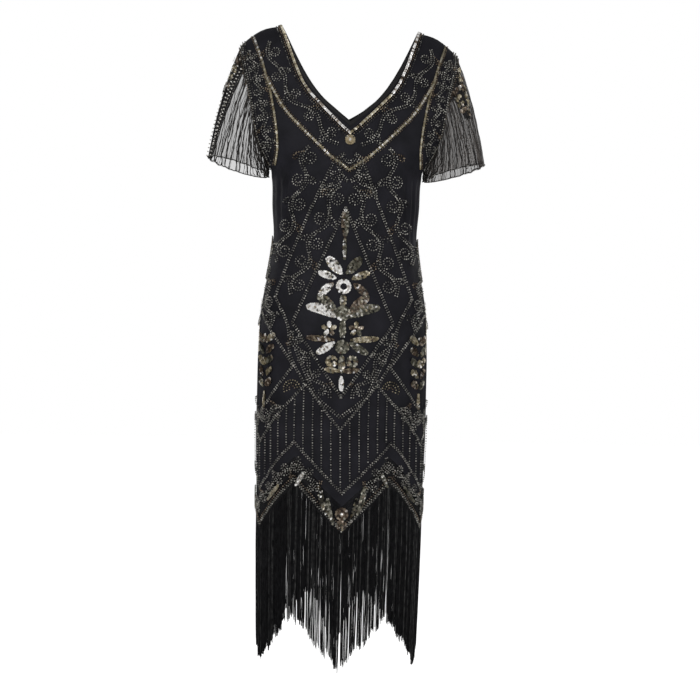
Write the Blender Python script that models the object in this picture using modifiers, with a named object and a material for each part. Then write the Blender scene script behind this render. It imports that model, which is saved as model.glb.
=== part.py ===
"""Beaded flapper dress in its worn form, hollow and open at neck, hem and sleeves.

Metres, +Z up, front towards -Y, +X at the wearer's left. The origin lies midway between
the two neck points of the shoulder seams, where the wearer's shoulders carry the dress.
"""

import math
import random

import bmesh
import bpy
import numpy as np
from mathutils import Vector
from mathutils.bvhtree import BVHTree

FRONT = -1
BACK = 1

WALL = 0.0011  # net with its beading, and the lining
SEAM_GAP = 0.0004  # between two pieces sewn edge to edge
ARMHOLE_GAP = 0.0006  # the same round the armhole, whose edges bend more from line to line
LAYER_GAP = 0.0005  # between the net and the lining under it
LEAST_SPREAD = 0.3  # where two pieces meet in a sharp fold, they draw back by up to 1 / this more
TRIM_LIFT = 0.0004  # from the net's outer face to the back of a trim

# The panel's lengthwise lines, numbered from the centre line to the side seam.
NECK_LINE = 5
SHOULDER_LINE = 7
TIP_LINE = 10
SIDE_LINE = 14
LINE_ANGLES = ((0, 0.0), (NECK_LINE, 33.5), (TIP_LINE, 70.5), (SIDE_LINE, 90.0))

# Level rings of the body, from the shoulders to below the fringe. Above the underarm a ring runs on
# past the armhole, so its half width there is that of a shape wider than the bodice.
# Columns: height, half width, front depth, back depth.
RINGS = (
    (0.015, 0.2400, 0.112, 0.104),
    (-0.077, 0.2367, 0.112, 0.104),
    (-0.116, 0.2280, 0.112, 0.104),
    (-0.152, 0.2162, 0.112, 0.104),
    (-0.186, 0.2033, 0.112, 0.104),
    (-0.217, 0.1871, 0.112, 0.104),
    (-0.243, 0.1622, 0.112, 0.104),
    (-0.262, 0.1435, 0.112, 0.104),
    (-0.282, 0.1395, 0.112, 0.104),
    (-0.335, 0.1372, 0.106, 0.099),
    (-0.394, 0.1337, 0.099, 0.093),
    (-0.450, 0.1410, 0.102, 0.100),
    (-0.520, 0.1530, 0.108, 0.114),
    (-0.600, 0.1575, 0.112, 0.121),
    (-0.680, 0.1580, 0.113, 0.119),
    (-0.760, 0.1580, 0.112, 0.115),
    (-0.850, 0.1553, 0.109, 0.111),
    (-0.950, 0.1543, 0.107, 0.109),
    (-1.060, 0.1520, 0.105, 0.106),
    (-1.180, 0.1490, 0.102, 0.103),
)
SQUARENESS = 0.84  # power of the cosine in a ring: 1 is an ellipse, less is squarer
# The ridge over the shoulders, from which the front and back fall away. Columns: x, height.
RIDGE = ((0.0, 0.012), (0.10, 0.006), (0.127, 0.0), (0.166, -0.011), (0.200, -0.038), (0.235, -0.080))
SHOULDER_DROP = 0.27  # below the ridge, the body has its full depth
SHOULDER_ROUND = 0.52  # power of the rise in depth: less is a blunter shoulder
# Soft fullness. Columns: side, angle from the centre, height, spread in angle, spread in height, rise.
FULLNESS = (
    (FRONT, 36.0, -0.272, 20.0, 0.060, 0.008),
    (BACK, 30.0, -0.610, 24.0, 0.070, 0.004),
    (BACK, 40.0, -0.180, 24.0, 0.060, 0.005),
)

# The top edge of the front and back panels: neckline, shoulder seam, armhole.
# Columns: line, x at the front, z at the front, x at the back, z at the back.
TOP_EDGE = (
    (0, 0.000, -0.190, 0.000, -0.155),
    (1, 0.026, -0.168, 0.026, -0.140),
    (2, 0.052, -0.144, 0.052, -0.121),
    (3, 0.077, -0.109, 0.077, -0.093),
    (4, 0.102, -0.060, 0.102, -0.052),
    (5, 0.127, 0.000, 0.127, 0.000),
    (6, 0.166, -0.011, 0.166, -0.011),
    (7, 0.200, -0.038, 0.200, -0.038),
    (8, 0.195, -0.077, 0.195, -0.077),
    (9, 0.186, -0.116, 0.186, -0.116),
    (10, 0.179, -0.152, 0.180, -0.152),
    (11, 0.174, -0.186, 0.175, -0.186),
    (12, 0.167, -0.217, 0.168, -0.217),
    (13, 0.155, -0.243, 0.155, -0.243),
    (14, 0.1435, -0.262, 0.1435, -0.262),
)
BODICE_BASE = -0.282
BODICE_STEPS = (0.0, 0.2, 0.4, 0.57, 0.72, 0.85, 0.945, 1.0)  # the last but one varies at the neck
TORSO_LEVELS = (-0.760, -0.680, -0.600, -0.520, -0.450, -0.394, -0.335, BODICE_BASE)

# The zigzag hem of the net. Columns: line, height.
HEM = ((0, -0.926), (NECK_LINE, -0.836), (TIP_LINE, -0.926), (SIDE_LINE, -0.884))
LINING_RISE = 0.046  # from the net's hem up to the lining's
HEM_STEPS = 2
LINING_HEM_STEPS = 1

SLEEVE_COLUMNS_PER_LINE = 4
SLEEVE_STEPS = 4
SLEEVE_HEM_X = 0.202
SLEEVE_HEM_Y = 0.004
SLEEVE_HEM_Z = -0.264
SLEEVE_HEM_HALF_WIDTH = 0.054
SLEEVE_HEM_HALF_DEPTH = 0.074
SLEEVE_HEM_TILT = 0.27  # rise of the hem ring for each metre outwards
SLEEVE_SWELL = 0.17  # how far the run from armhole to hem stands out, as a share of its length
SLEEVE_WAVES = 14
SLEEVE_WAVE_DEPTH = 0.0026

STRAND_WIDTH = 0.0030
STRAND_DEPTH = 0.0017
STRAND_TIP = 0.65  # width at the free end, as a share of the width at the root
STRAND_STEPS = (0.4, 1.0)  # where a strand has its rings, as shares of its length
STRAND_INSET = 0.0001  # from the net's outer face to a strand's
STRAND_DRIFT = 0.0007  # how far a strand's free end may hang to one side
STRIP_HEIGHT = 0.005
STRIP_GAP = 0.00045  # measured straight down from the net's sloping edge
FRINGE_LENGTH = 0.242
FRINGE_UNEVENNESS = 0.006
STRANDS_PER_LINE = 16 / NECK_LINE
SIDE_STRANDS_PER_LINE = 2
STRIP_END_LINE = SIDE_LINE - 0.04
LINE_STEP = 0.05  # a small difference of lines, for slopes and widths
FRINGE_SEED = 7

TRIM_THICKNESS = 0.0012
NECK_TRIM_WIDTH = 0.008
MEDALLION_Z = -0.224
MEDALLION_RADIUS = 0.0085
MEDALLION_TOP = 0.62  # radius of the flat top, as a share of the base's
MEDALLION_HEIGHT = 0.003
MEDALLION_SIDES = 16

SHARP_ANGLE = 50  # degrees between faces, over which an edge is drawn sharp


def smooth(table, at):
    """The row of a table at a value of its first column, on a smooth curve through its rows."""
    rows = np.array(table, float)
    if rows[0, 0] > rows[-1, 0]:
        rows = rows[::-1]
    keys, values = rows[:, 0], rows[:, 1:]
    slopes = np.gradient(values, keys, axis=0)
    at = min(max(at, keys[0]), keys[-1])
    k = min(int(np.searchsorted(keys, at, side="right")) - 1, len(keys) - 2)
    span = keys[k + 1] - keys[k]
    t = (at - keys[k]) / span
    return (
        (2 * t**3 - 3 * t**2 + 1) * values[k]
        + (t**3 - 2 * t**2 + t) * span * slopes[k]
        + (3 * t**2 - 2 * t**3) * values[k + 1]
        + (t**3 - t**2) * span * slopes[k + 1]
    )


def straight(table, at):
    """The same on straight runs between the rows, for a table of two columns."""
    keys, values = zip(*table)
    return float(np.interp(at, keys, values))


def edge_row(line):
    """The top edge's row at a line. Its three stretches meet at corners, so each is smooth alone."""
    if line <= NECK_LINE:
        stretch = [row for row in TOP_EDGE if row[0] <= NECK_LINE]
    elif line <= SHOULDER_LINE:
        stretch = [row for row in TOP_EDGE if NECK_LINE <= row[0] <= SHOULDER_LINE]
    else:
        stretch = [row for row in TOP_EDGE if row[0] >= SHOULDER_LINE]
    return smooth(stretch, line)


def body_point(side, share, z):
    """A point of the outer face at a level. share is x as a part of the ring's half width."""
    half_width, front_depth, back_depth = smooth(RINGS, z)
    depth = front_depth if side == FRONT else back_depth
    angle = math.degrees(math.asin(min(share, 1.0)))
    for where, centre, height, spread, reach, rise in FULLNESS:
        if where == side:
            near = ((angle - centre) / spread) ** 2 + ((z - height) / reach) ** 2
            depth += rise * math.exp(-near)
    x = share * half_width
    drop = min(max(smooth(RIDGE, x)[0] - z, 0.0) / SHOULDER_DROP, 1.0)
    depth *= math.sin(math.pi / 2 * drop) ** SHOULDER_ROUND
    along = max(1.0 - share**2, 0.0) ** (SQUARENESS / 2)
    return np.array((x, side * depth * along, z))


def ring_share(line):
    return math.sin(math.radians(straight(LINE_ANGLES, line)))


def torso_point(side, line, z):
    """A point of the body below the armholes, on one of the panel's lengthwise lines."""
    return body_point(side, ring_share(line), z)


def bodice_point(side, line, t):
    """A point between the bodice's base ring (t = 0) and the top edge (t = 1)."""
    row = edge_row(line)
    x, top = row[0:2] if side == FRONT else row[2:4]
    top_share = min(x / smooth(RINGS, top)[0], 1.0)
    share = ring_share(line) * (1 - t) + top_share * t
    return body_point(side, share, BODICE_BASE * (1 - t) + top * t)


def neck_band_step(side, line):
    """How far up a line the trim's lower edge lies, at a set distance from the neckline."""
    last = BODICE_STEPS[-2]
    span = np.linalg.norm(bodice_point(side, line, 1.0) - bodice_point(side, line, last))
    return 1.0 - (1.0 - last) * NECK_TRIM_WIDTH / span


def half_panel(side, hem_rise, hem_steps):
    """Rows of outer points of half a panel, from the hem up, each from the centre line outwards."""
    lowest = TORSO_LEVELS[0]
    lines = range(SIDE_LINE + 1)
    rows = []
    for k in range(hem_steps, 0, -1):
        share = k / hem_steps
        levels = [lowest + (straight(HEM, line) + hem_rise - lowest) * share for line in lines]
        rows.append([torso_point(side, line, z) for line, z in zip(lines, levels)])
    for z in TORSO_LEVELS:
        rows.append([torso_point(side, line, z) for line in lines])
    for t in BODICE_STEPS[1:]:
        rows.append([bodice_point(side, line, t) for line in lines])
    for line in range(NECK_LINE + 1):
        rows[-2][line] = bodice_point(side, line, neck_band_step(side, line))
    return np.array(rows)


def armhole_ring():
    """The armhole's outer points: down the front from the shoulder, then up the back, several to a line."""
    corners = []
    for line in range(SHOULDER_LINE, SIDE_LINE + 1):
        corners.append(bodice_point(FRONT, line, 1.0))
    for line in range(SIDE_LINE - 1, SHOULDER_LINE - 1, -1):
        corners.append(bodice_point(BACK, line, 1.0))
    ring = []
    for first, second in zip(corners, corners[1:]):
        for k in range(SLEEVE_COLUMNS_PER_LINE):
            ring.append(first + (second - first) * k / SLEEVE_COLUMNS_PER_LINE)
    return np.array(ring)


def sleeve_rows():
    """Closed rows of the left sleeve's outer points, from the armhole to the hem."""
    ring = armhole_ring()
    count = len(ring)
    rows = [ring]
    for step in range(1, SLEEVE_STEPS + 1):
        t = step / SLEEVE_STEPS
        row = []
        for k, start in enumerate(ring):
            turn = 2 * math.pi * k / count
            out = np.array((math.cos(turn), -math.sin(turn), 0.0))
            wave = SLEEVE_WAVE_DEPTH * t * math.sin(SLEEVE_WAVES * turn)
            reach = np.array((SLEEVE_HEM_HALF_WIDTH + wave, SLEEVE_HEM_HALF_DEPTH + wave, 0.0))
            end = np.array((SLEEVE_HEM_X, SLEEVE_HEM_Y, SLEEVE_HEM_Z)) + out * reach
            end[2] += SLEEVE_HEM_TILT * (end[0] - SLEEVE_HEM_X)
            bulge = SLEEVE_SWELL * np.linalg.norm(end - start) * t * (1 - t) * (1 - t / 3)
            row.append(start + (end - start) * t + bulge * out)
        rows.append(np.array(row))
    return np.array(rows)


class Cloth:
    """Normals of the whole garment's outer face, so that walls meet squarely at every seam."""

    def __init__(self, grids):
        self.sums = {}
        for rows, closed in grids:
            for lower, upper in zip(rows, rows[1:]):
                count = len(lower)
                for k in range(count if closed else count - 1):
                    n = (k + 1) % count
                    corners = (lower[k], lower[n], upper[n], upper[k])
                    normal = np.cross(corners[2] - corners[0], corners[3] - corners[1])
                    for corner in corners:
                        key = self.key(corner)
                        self.sums[key] = self.sums.get(key, np.zeros(3)) + normal

    @staticmethod
    def key(point):
        return tuple(int(round(value * 1e6)) for value in point)

    def normal(self, point):
        total = self.sums[self.key(point)]
        return total / np.linalg.norm(total)


def mirrored(rows):
    """The other half's points, in an order that keeps the faces turned out."""
    flipped = rows[:, ::-1].copy()
    flipped[..., 0] *= -1
    return flipped


def outer_grids(halves):
    """The front and back, both halves of each, ordered so that their faces turn out."""
    grids = []
    for side, rows in halves.items():
        ordered = rows if side == FRONT else rows[:, ::-1]
        grids += [(ordered, False), (mirrored(ordered), False)]
    return grids


def material(name, colour, roughness, metallic=0.0):
    made = bpy.data.materials.new(name)
    made.use_nodes = True
    shader = made.node_tree.nodes["Principled BSDF"]
    shader.inputs["Base Color"].default_value = (*colour, 1.0)
    shader.inputs["Roughness"].default_value = roughness
    shader.inputs["Metallic"].default_value = metallic
    return made


def add_object(name, bm, finish, collection, is_smooth=True):
    mesh = bpy.data.meshes.new(name)
    bmesh.ops.recalc_face_normals(bm, faces=bm.faces)
    bm.to_mesh(mesh)
    bm.free()
    if is_smooth:
        mesh.shade_smooth()
        mesh.set_sharp_from_angle(angle=math.radians(SHARP_ANGLE))
    mesh.materials.append(finish)
    made = bpy.data.objects.new(name, mesh)
    collection.objects.link(made)
    return made


def crossing(face, j, k, n):
    """Which way a four-sided cell of the grid splits into two triangles: True for the rising way."""
    rising = np.linalg.norm(face[j + 1][n] - face[j][k])
    falling = np.linalg.norm(face[j + 1][k] - face[j][n])
    return rising <= falling


def wall_mesh(face, outer, inner, closed=False, open_at_centre=False):
    """A bmesh of the wall between two grids of points, with rims along its free edges.

    Both sides split as the garment's face does, so that layers one over another stay parallel.
    """
    bm = bmesh.new()
    layers = []
    for grid in (outer, inner):
        layers.append([[bm.verts.new(point) for point in row] for row in grid])
    height, width = len(outer), len(outer[0])
    spans = [(k, (k + 1) % width) for k in range(width if closed else width - 1)]
    for j in range(height - 1):
        for k, n in spans:
            rising = crossing(face, j, k, n)
            for layer in layers:
                low, low_next = layer[j][k], layer[j][n]
                high, high_next = layer[j + 1][k], layer[j + 1][n]
                if rising:
                    bm.faces.new((low, low_next, high_next))
                    bm.faces.new((low, high_next, high))
                else:
                    bm.faces.new((low, low_next, high))
                    bm.faces.new((low_next, high_next, high))
    for j in (0, height - 1):
        for k, n in spans:
            bm.faces.new((layers[0][j][k], layers[0][j][n], layers[1][j][n], layers[1][j][k]))
    if not closed:
        for k in (width - 1,) if open_at_centre else (0, width - 1):
            for j in range(height - 1):
                bm.faces.new((layers[0][j][k], layers[0][j + 1][k], layers[1][j + 1][k], layers[1][j][k]))
    return bm


def mirror_across_x(made):
    modifier = made.modifiers.new("Mirror", "MIRROR")
    modifier.use_axis = (True, False, False)
    modifier.use_clip = True
    modifier.merge_threshold = 0.00001


def square_to(edge, beside, closed=False):
    """Unit directions from an edge's points towards the points beside it, square to the edge."""
    if closed:
        along = np.roll(edge, -1, axis=0) - np.roll(edge, 1, axis=0)
    else:
        along = np.gradient(edge, axis=0)
    along /= np.linalg.norm(along, axis=1, keepdims=True)
    away = beside - edge
    away -= along * np.sum(away * along, axis=1, keepdims=True)
    return away / np.linalg.norm(away, axis=1, keepdims=True)


class ArmholeSeam:
    """Where panels and sleeve meet: a shared normal, and how far each draws back, at each corner."""

    def __init__(self, halves, sleeve_grid, net_cloth, sleeve_cloth):
        self.normals, self.clearance = {}, {}
        corners = sleeve_grid[0]
        into_sleeve = square_to(corners, sleeve_grid[1], closed=True)
        sleeve_ways = {Cloth.key(point): way for point, way in zip(corners, into_sleeve)}
        for rows in halves.values():
            edge = rows[-1, SHOULDER_LINE:]
            for point, way in zip(edge, square_to(edge, rows[-2, SHOULDER_LINE - 1 : -1])):
                key = Cloth.key(point)
                total = net_cloth.normal(point) + sleeve_cloth.normal(point)
                self.normals[key] = total / np.linalg.norm(total)
                spread = math.sqrt(max(1 - float(way @ sleeve_ways[key]), 0.0) / 2)
                self.clearance[key] = ARMHOLE_GAP / 2 / max(spread, LEAST_SPREAD)

    def normal(self, point):
        return self.normals[Cloth.key(point)]

    def moves(self, edge, beside):
        away = square_to(edge, beside)
        return away * np.array([[self.clearance[Cloth.key(point)]] for point in edge])


def seam_clearance(rows, armhole):
    """Moves that draw a half panel back from its side seam, its shoulder seam and its armhole."""
    moves = np.zeros_like(rows)
    moves[:, -1] += SEAM_GAP / 2 * square_to(rows[:, -1], rows[:, -2])
    shoulder = slice(NECK_LINE, SHOULDER_LINE + 1)
    moves[-1, shoulder] += SEAM_GAP / 2 * square_to(rows[-1, shoulder], rows[-2, shoulder])
    moves[-1, SHOULDER_LINE:] += armhole.moves(rows[-1, SHOULDER_LINE:], rows[-2, SHOULDER_LINE - 1 : -1])
    return moves


def panel_normals(rows, cloth, armhole):
    """Normals at a half panel's points, level with the centre plane on the centre line."""
    normals = np.array([[cloth.normal(point) for point in row] for row in rows])
    for line in range(SHOULDER_LINE, SIDE_LINE + 1):
        normals[-1, line] = armhole.normal(rows[-1, line])
    normals[:, 0, 0] = 0.0
    return normals


def panel(name, rows, cloth, armhole, depth, finish, collection):
    """A front or back piece whose outer face lies the given depth inside the garment's face."""
    normals = panel_normals(rows, cloth, armhole)
    placed = rows + seam_clearance(rows, armhole)
    placed[:, 0, 0] = 0.0
    outer = placed - depth * normals
    inner = placed - (depth + WALL) * normals
    bm = wall_mesh(rows, outer, inner, open_at_centre=True)
    mirror_across_x(add_object(name, bm, finish, collection))


def neck_trim(name, rows, cloth, armhole, finish, collection):
    """The band along a panel's neckline, raised from the panel's own points."""
    lines = slice(0, NECK_LINE + 1)
    band = rows[-2:, lines]
    normals = panel_normals(rows, cloth, armhole)[-2:, lines]
    placed = band + seam_clearance(rows, armhole)[-2:, lines]
    placed[:, 0, 0] = 0.0
    outer = placed + (TRIM_LIFT + TRIM_THICKNESS) * normals
    inner = placed + TRIM_LIFT * normals
    bm = wall_mesh(band, outer, inner, open_at_centre=True)
    mirror_across_x(add_object(name, bm, finish, collection))


def between_corners(corners):
    """A closed ring of values with the sleeve's columns filled in between the panel's lines."""
    following = np.roll(corners, -1, axis=0)
    filled = []
    for corner, after in zip(corners, following):
        for k in range(SLEEVE_COLUMNS_PER_LINE):
            share = k / SLEEVE_COLUMNS_PER_LINE
            filled.append(corner * (1 - share) + after * share)
    return np.array(filled)


def sleeve(name, rows, cloth, armhole, across, finish, collection):
    """A flutter sleeve. across is 1 at the wearer's left and -1 at the right."""
    corners = rows[0][::SLEEVE_COLUMNS_PER_LINE]
    normals = np.array([[cloth.normal(point) for point in row] for row in rows])
    normals[0] = between_corners(np.array([armhole.normal(point) for point in corners]))
    clearance = np.array([[armhole.clearance[Cloth.key(point)]] for point in corners])
    placed = rows.copy()
    placed[0] += between_corners(clearance) * square_to(rows[0], rows[1], closed=True)
    side = np.array((across, 1, 1))
    bm = wall_mesh(rows, placed * side, (placed - WALL * normals) * side, closed=True)
    add_object(name, bm, finish, collection)


def surface_tree(rows_of_halves):
    """A search tree of the dress's outer face, both halves of the front and back."""
    points, faces = [], []
    for rows in rows_of_halves:
        width = rows.shape[1]
        first = len(points)
        points.extend(Vector(point) for point in rows.reshape(-1, 3))
        for j in range(rows.shape[0] - 1):
            for k in range(width - 1):
                a = first + j * width + k
                faces.append((a, a + 1, a + 1 + width, a + width))
    return BVHTree.FromPolygons(points, faces)


def from_the_side(tree, side, x, z):
    """The outer face's point straight in from the front or the back at x and z."""
    hit = tree.ray_cast(Vector((x, side, z)), Vector((0, -side, 0)))
    return hit[0]


def medallion(tree, finish, collection):
    """A low faceted cabochon on the centre front."""
    centre = from_the_side(tree, FRONT, 0.0, MEDALLION_Z)
    tilt = tree.find_nearest(centre)[1]
    bm = bmesh.new()
    bmesh.ops.create_cone(
        bm,
        cap_ends=True,
        segments=MEDALLION_SIDES,
        radius1=MEDALLION_RADIUS,
        radius2=MEDALLION_RADIUS * MEDALLION_TOP,
        depth=MEDALLION_HEIGHT,
    )
    turn = Vector((0, 0, 1)).rotation_difference(tilt).to_matrix().to_4x4()
    lift = TRIM_LIFT + MEDALLION_HEIGHT / 2
    bmesh.ops.transform(bm, matrix=turn, verts=bm.verts)
    bmesh.ops.translate(bm, vec=centre + tilt * lift, verts=bm.verts)
    add_object("medallion", bm, finish, collection)


def facet_point(side, line, z):
    """A point on the flat facet between two neighbouring lengthwise lines."""
    if line < 0:
        return facet_point(side, -line, z) * (-1, 1, 1)
    low = min(int(line), SIDE_LINE - 1)
    share = line - low
    return torso_point(side, low, z) * (1 - share) + torso_point(side, low + 1, z) * share


def outward(side, line, z):
    """The level direction square to the facet at a line, away from the body."""
    middle = max(min(line, SIDE_LINE - LINE_STEP), LINE_STEP - SIDE_LINE)
    along = facet_point(side, middle + LINE_STEP, z) - facet_point(side, middle - LINE_STEP, z)
    normal = np.array((-along[1], along[0], 0.0)) * (-1 if side == FRONT else 1)
    if normal[1] * side < 0:
        normal = -normal
    return normal / np.linalg.norm(normal)


def strand_lines():
    """Lines of the fringe's strands from one side seam to the other."""
    half = [k / STRANDS_PER_LINE for k in range(int(TIP_LINE * STRANDS_PER_LINE) + 1)]
    extra = int((SIDE_LINE - TIP_LINE) * SIDE_STRANDS_PER_LINE)
    half += [TIP_LINE + k / SIDE_STRANDS_PER_LINE for k in range(1, extra)]
    return [-line for line in half[:0:-1]] + half


def half_width_in_lines(side, line, z):
    """Half a strand's width as a difference of lines."""
    inner = min(abs(line), SIDE_LINE - LINE_STEP)
    span = np.linalg.norm(facet_point(side, inner + LINE_STEP, z) - facet_point(side, inner, z))
    return STRAND_WIDTH / 2 * LINE_STEP / span


def fringe(name, side, seed, finish, collection):
    """A strip along the hem with hanging strands that grow out of its lower edge."""
    chance = random.Random(seed)
    bm = bmesh.new()
    lines = strand_lines()
    stations = []
    for line in lines:
        hem = straight(HEM, abs(line))
        top, foot = hem - STRIP_GAP, hem - STRIP_GAP - STRIP_HEIGHT
        normal = outward(side, line, hem)
        half = half_width_in_lines(side, line, hem)
        slope_left = straight(HEM, abs(line - half)) - hem
        slope_right = straight(HEM, abs(line + half)) - hem
        stations.append(
            {
                "line": line,
                "half": half,
                "normal": normal,
                "top": bm.verts.new(facet_point(side, line, top)),
                "top_in": bm.verts.new(facet_point(side, line, top) - normal * WALL),
                "left": bm.verts.new(facet_point(side, line - half, foot + slope_left)),
                "right": bm.verts.new(facet_point(side, line + half, foot + slope_right)),
                "in": bm.verts.new(facet_point(side, line, foot) - normal * WALL),
                "foot": foot,
            }
        )
    ends = []
    for line in (-STRIP_END_LINE, STRIP_END_LINE):
        hem = straight(HEM, abs(line))
        normal = outward(side, line, hem)
        spots = []
        for z in (hem - STRIP_GAP, hem - STRIP_GAP - STRIP_HEIGHT):
            spots.append(bm.verts.new(facet_point(side, line, z)))
            spots.append(bm.verts.new(facet_point(side, line, z) - normal * WALL))
        ends.append(spots)
    first, last = stations[0], stations[-1]
    for (top, top_in, foot, foot_in), station, edge in (
        (ends[0], first, "left"),
        (ends[1], last, "right"),
    ):
        bm.faces.new((top, foot, station[edge], station["top"]))
        bm.faces.new((top_in, foot_in, station["in"], station["top_in"]))
        bm.faces.new((top, station["top"], station["top_in"], top_in))
        bm.faces.new((foot, station[edge], station["in"], foot_in))
        bm.faces.new((top, foot, foot_in, top_in))
    for station in stations:
        bm.faces.new((station["top"], station["left"], station["right"]))
        hang_strand(bm, side, station, chance)
    for one, two in zip(stations, stations[1:]):
        bm.faces.new((one["top"], one["right"], two["left"], two["top"]))
        bm.faces.new((one["top_in"], one["in"], two["in"], two["top_in"]))
        bm.faces.new((one["top"], two["top"], two["top_in"], one["top_in"]))
        bm.faces.new((one["right"], two["left"], two["in"], one["in"]))
    add_object(name, bm, finish, collection, is_smooth=False)


def hang_strand(bm, side, station, chance):
    """One three-sided strand in two lengths, from the strip down to its free end."""
    line = station["line"]
    bottom = straight(HEM, abs(line)) - FRINGE_LENGTH
    bottom += chance.uniform(-FRINGE_UNEVENNESS, FRINGE_UNEVENNESS)
    drift = chance.uniform(-STRAND_DRIFT, STRAND_DRIFT)
    rings = [(station["left"], station["right"], station["in"])]
    for share in STRAND_STEPS:
        z = station["foot"] + (bottom - station["foot"]) * share
        width = 1 - (1 - STRAND_TIP) * share
        half = station["half"] * width
        across = line + drift * share * station["half"] / (STRAND_WIDTH / 2)
        normal = station["normal"]
        left = facet_point(side, across - half, z) - normal * STRAND_INSET
        right = facet_point(side, across + half, z) - normal * STRAND_INSET
        inner = facet_point(side, across, z) - normal * STRAND_DEPTH * width
        rings.append([bm.verts.new(point) for point in (left, right, inner)])
    for upper, lower in zip(rings, rings[1:]):
        for k in range(3):
            n = (k + 1) % 3
            bm.faces.new((upper[k], upper[n], lower[n], lower[k]))
    bm.faces.new(rings[-1])


def clear_scene():
    for made in list(bpy.data.objects):
        bpy.data.objects.remove(made, do_unlink=True)


def main():
    clear_scene()
    dress = bpy.data.collections.new("flapper_dress")
    bpy.context.scene.collection.children.link(dress)
    net = material("beaded_net", (0.012, 0.012, 0.016), 0.55)
    lining = material("black_lining", (0.006, 0.006, 0.008), 0.6)
    sheer = material("sleeve_net", (0.05, 0.05, 0.055), 0.6)
    gold = material("gold_sequins", (0.62, 0.50, 0.30), 0.28, 0.9)
    thread = material("fringe_thread", (0.008, 0.008, 0.010), 0.45)

    halves = {side: half_panel(side, 0.0, HEM_STEPS) for side in (FRONT, BACK)}
    linings = {side: half_panel(side, LINING_RISE, LINING_HEM_STEPS) for side in (FRONT, BACK)}
    sleeve_grid = sleeve_rows()
    grids = outer_grids(halves)
    net_cloth = Cloth(grids)
    lining_cloth = Cloth(outer_grids(linings))
    sleeve_cloth = Cloth([(sleeve_grid, True)])
    armhole = ArmholeSeam(halves, sleeve_grid, net_cloth, sleeve_cloth)

    lining_depth = WALL + LAYER_GAP
    for side, name in ((FRONT, "front"), (BACK, "back")):
        panel(f"{name}_panel", halves[side], net_cloth, armhole, 0.0, net, dress)
        panel(f"{name}_lining", linings[side], lining_cloth, armhole, lining_depth, lining, dress)
        neck_trim(f"{name}_neck_trim", halves[side], net_cloth, armhole, gold, dress)
        fringe(f"{name}_fringe", side, FRINGE_SEED + side, thread, dress)
    for across, name in ((1, "left"), (-1, "right")):
        sleeve(f"sleeve_{name}", sleeve_grid, sleeve_cloth, armhole, across, sheer, dress)

    tree = surface_tree([rows for rows, _ in grids])
    medallion(tree, gold, dress)


main()
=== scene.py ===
"""Looks of the beaded flapper dress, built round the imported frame.

Metres, +Z up, front towards -Y, +X at the wearer's left. A place on the body is an angle and a
height: the angle is 0 at the centre front, a quarter turn at the wearer's left side seam and a
half turn at the centre back. Patterns are drawn flat, as seen from the front or by the distance
round the body, and then laid on that surface.
"""

import math
import random

import bpy
import numpy as np
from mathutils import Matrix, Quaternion, Vector


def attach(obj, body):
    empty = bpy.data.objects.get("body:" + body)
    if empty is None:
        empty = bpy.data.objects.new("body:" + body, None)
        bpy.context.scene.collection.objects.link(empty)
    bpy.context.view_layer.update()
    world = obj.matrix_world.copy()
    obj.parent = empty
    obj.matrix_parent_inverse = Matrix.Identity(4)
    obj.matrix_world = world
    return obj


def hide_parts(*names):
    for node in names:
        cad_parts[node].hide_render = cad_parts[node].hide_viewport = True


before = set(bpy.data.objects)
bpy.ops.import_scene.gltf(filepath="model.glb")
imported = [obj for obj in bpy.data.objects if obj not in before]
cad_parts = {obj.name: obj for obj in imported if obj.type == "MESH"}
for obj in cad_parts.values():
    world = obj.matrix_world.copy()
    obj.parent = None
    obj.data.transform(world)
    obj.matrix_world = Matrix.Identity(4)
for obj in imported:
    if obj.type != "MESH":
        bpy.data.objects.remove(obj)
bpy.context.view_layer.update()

MM = 0.001
FRONT = -1
BACK = 1
SIDE_NAMES = {FRONT: "front", BACK: "back"}

# ---------------------------------------------------------------------------------------------
# The body's form, as in the solids.

NECK_LINE = 5
SHOULDER_LINE = 7
TIP_LINE = 10
SIDE_LINE = 14
LINE_ANGLES = ((0, 0.0), (NECK_LINE, 33.5), (TIP_LINE, 70.5), (SIDE_LINE, 90.0))
# Columns: height, half width, front depth, back depth.
RINGS = (
    (0.015, 0.2400, 0.112, 0.104),
    (-0.077, 0.2367, 0.112, 0.104),
    (-0.116, 0.2280, 0.112, 0.104),
    (-0.152, 0.2162, 0.112, 0.104),
    (-0.186, 0.2033, 0.112, 0.104),
    (-0.217, 0.1871, 0.112, 0.104),
    (-0.243, 0.1622, 0.112, 0.104),
    (-0.262, 0.1435, 0.112, 0.104),
    (-0.282, 0.1395, 0.112, 0.104),
    (-0.335, 0.1372, 0.106, 0.099),
    (-0.394, 0.1337, 0.099, 0.093),
    (-0.450, 0.1410, 0.102, 0.100),
    (-0.520, 0.1530, 0.108, 0.114),
    (-0.600, 0.1575, 0.112, 0.121),
    (-0.680, 0.1580, 0.113, 0.119),
    (-0.760, 0.1580, 0.112, 0.115),
    (-0.850, 0.1553, 0.109, 0.111),
    (-0.950, 0.1543, 0.107, 0.109),
    (-1.060, 0.1520, 0.105, 0.106),
    (-1.180, 0.1490, 0.102, 0.103),
)
SQUARENESS = 0.84
RIDGE = ((0.0, 0.012), (0.10, 0.006), (0.127, 0.0), (0.166, -0.011), (0.200, -0.038), (0.235, -0.080))
SHOULDER_DROP = 0.27
SHOULDER_ROUND = 0.52
# Columns: side, angle from the centre, height, spread in angle, spread in height, rise.
FULLNESS = (
    (FRONT, 36.0, -0.272, 20.0, 0.060, 0.008),
    (BACK, 30.0, -0.610, 24.0, 0.070, 0.004),
    (BACK, 40.0, -0.180, 24.0, 0.060, 0.005),
)
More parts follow.
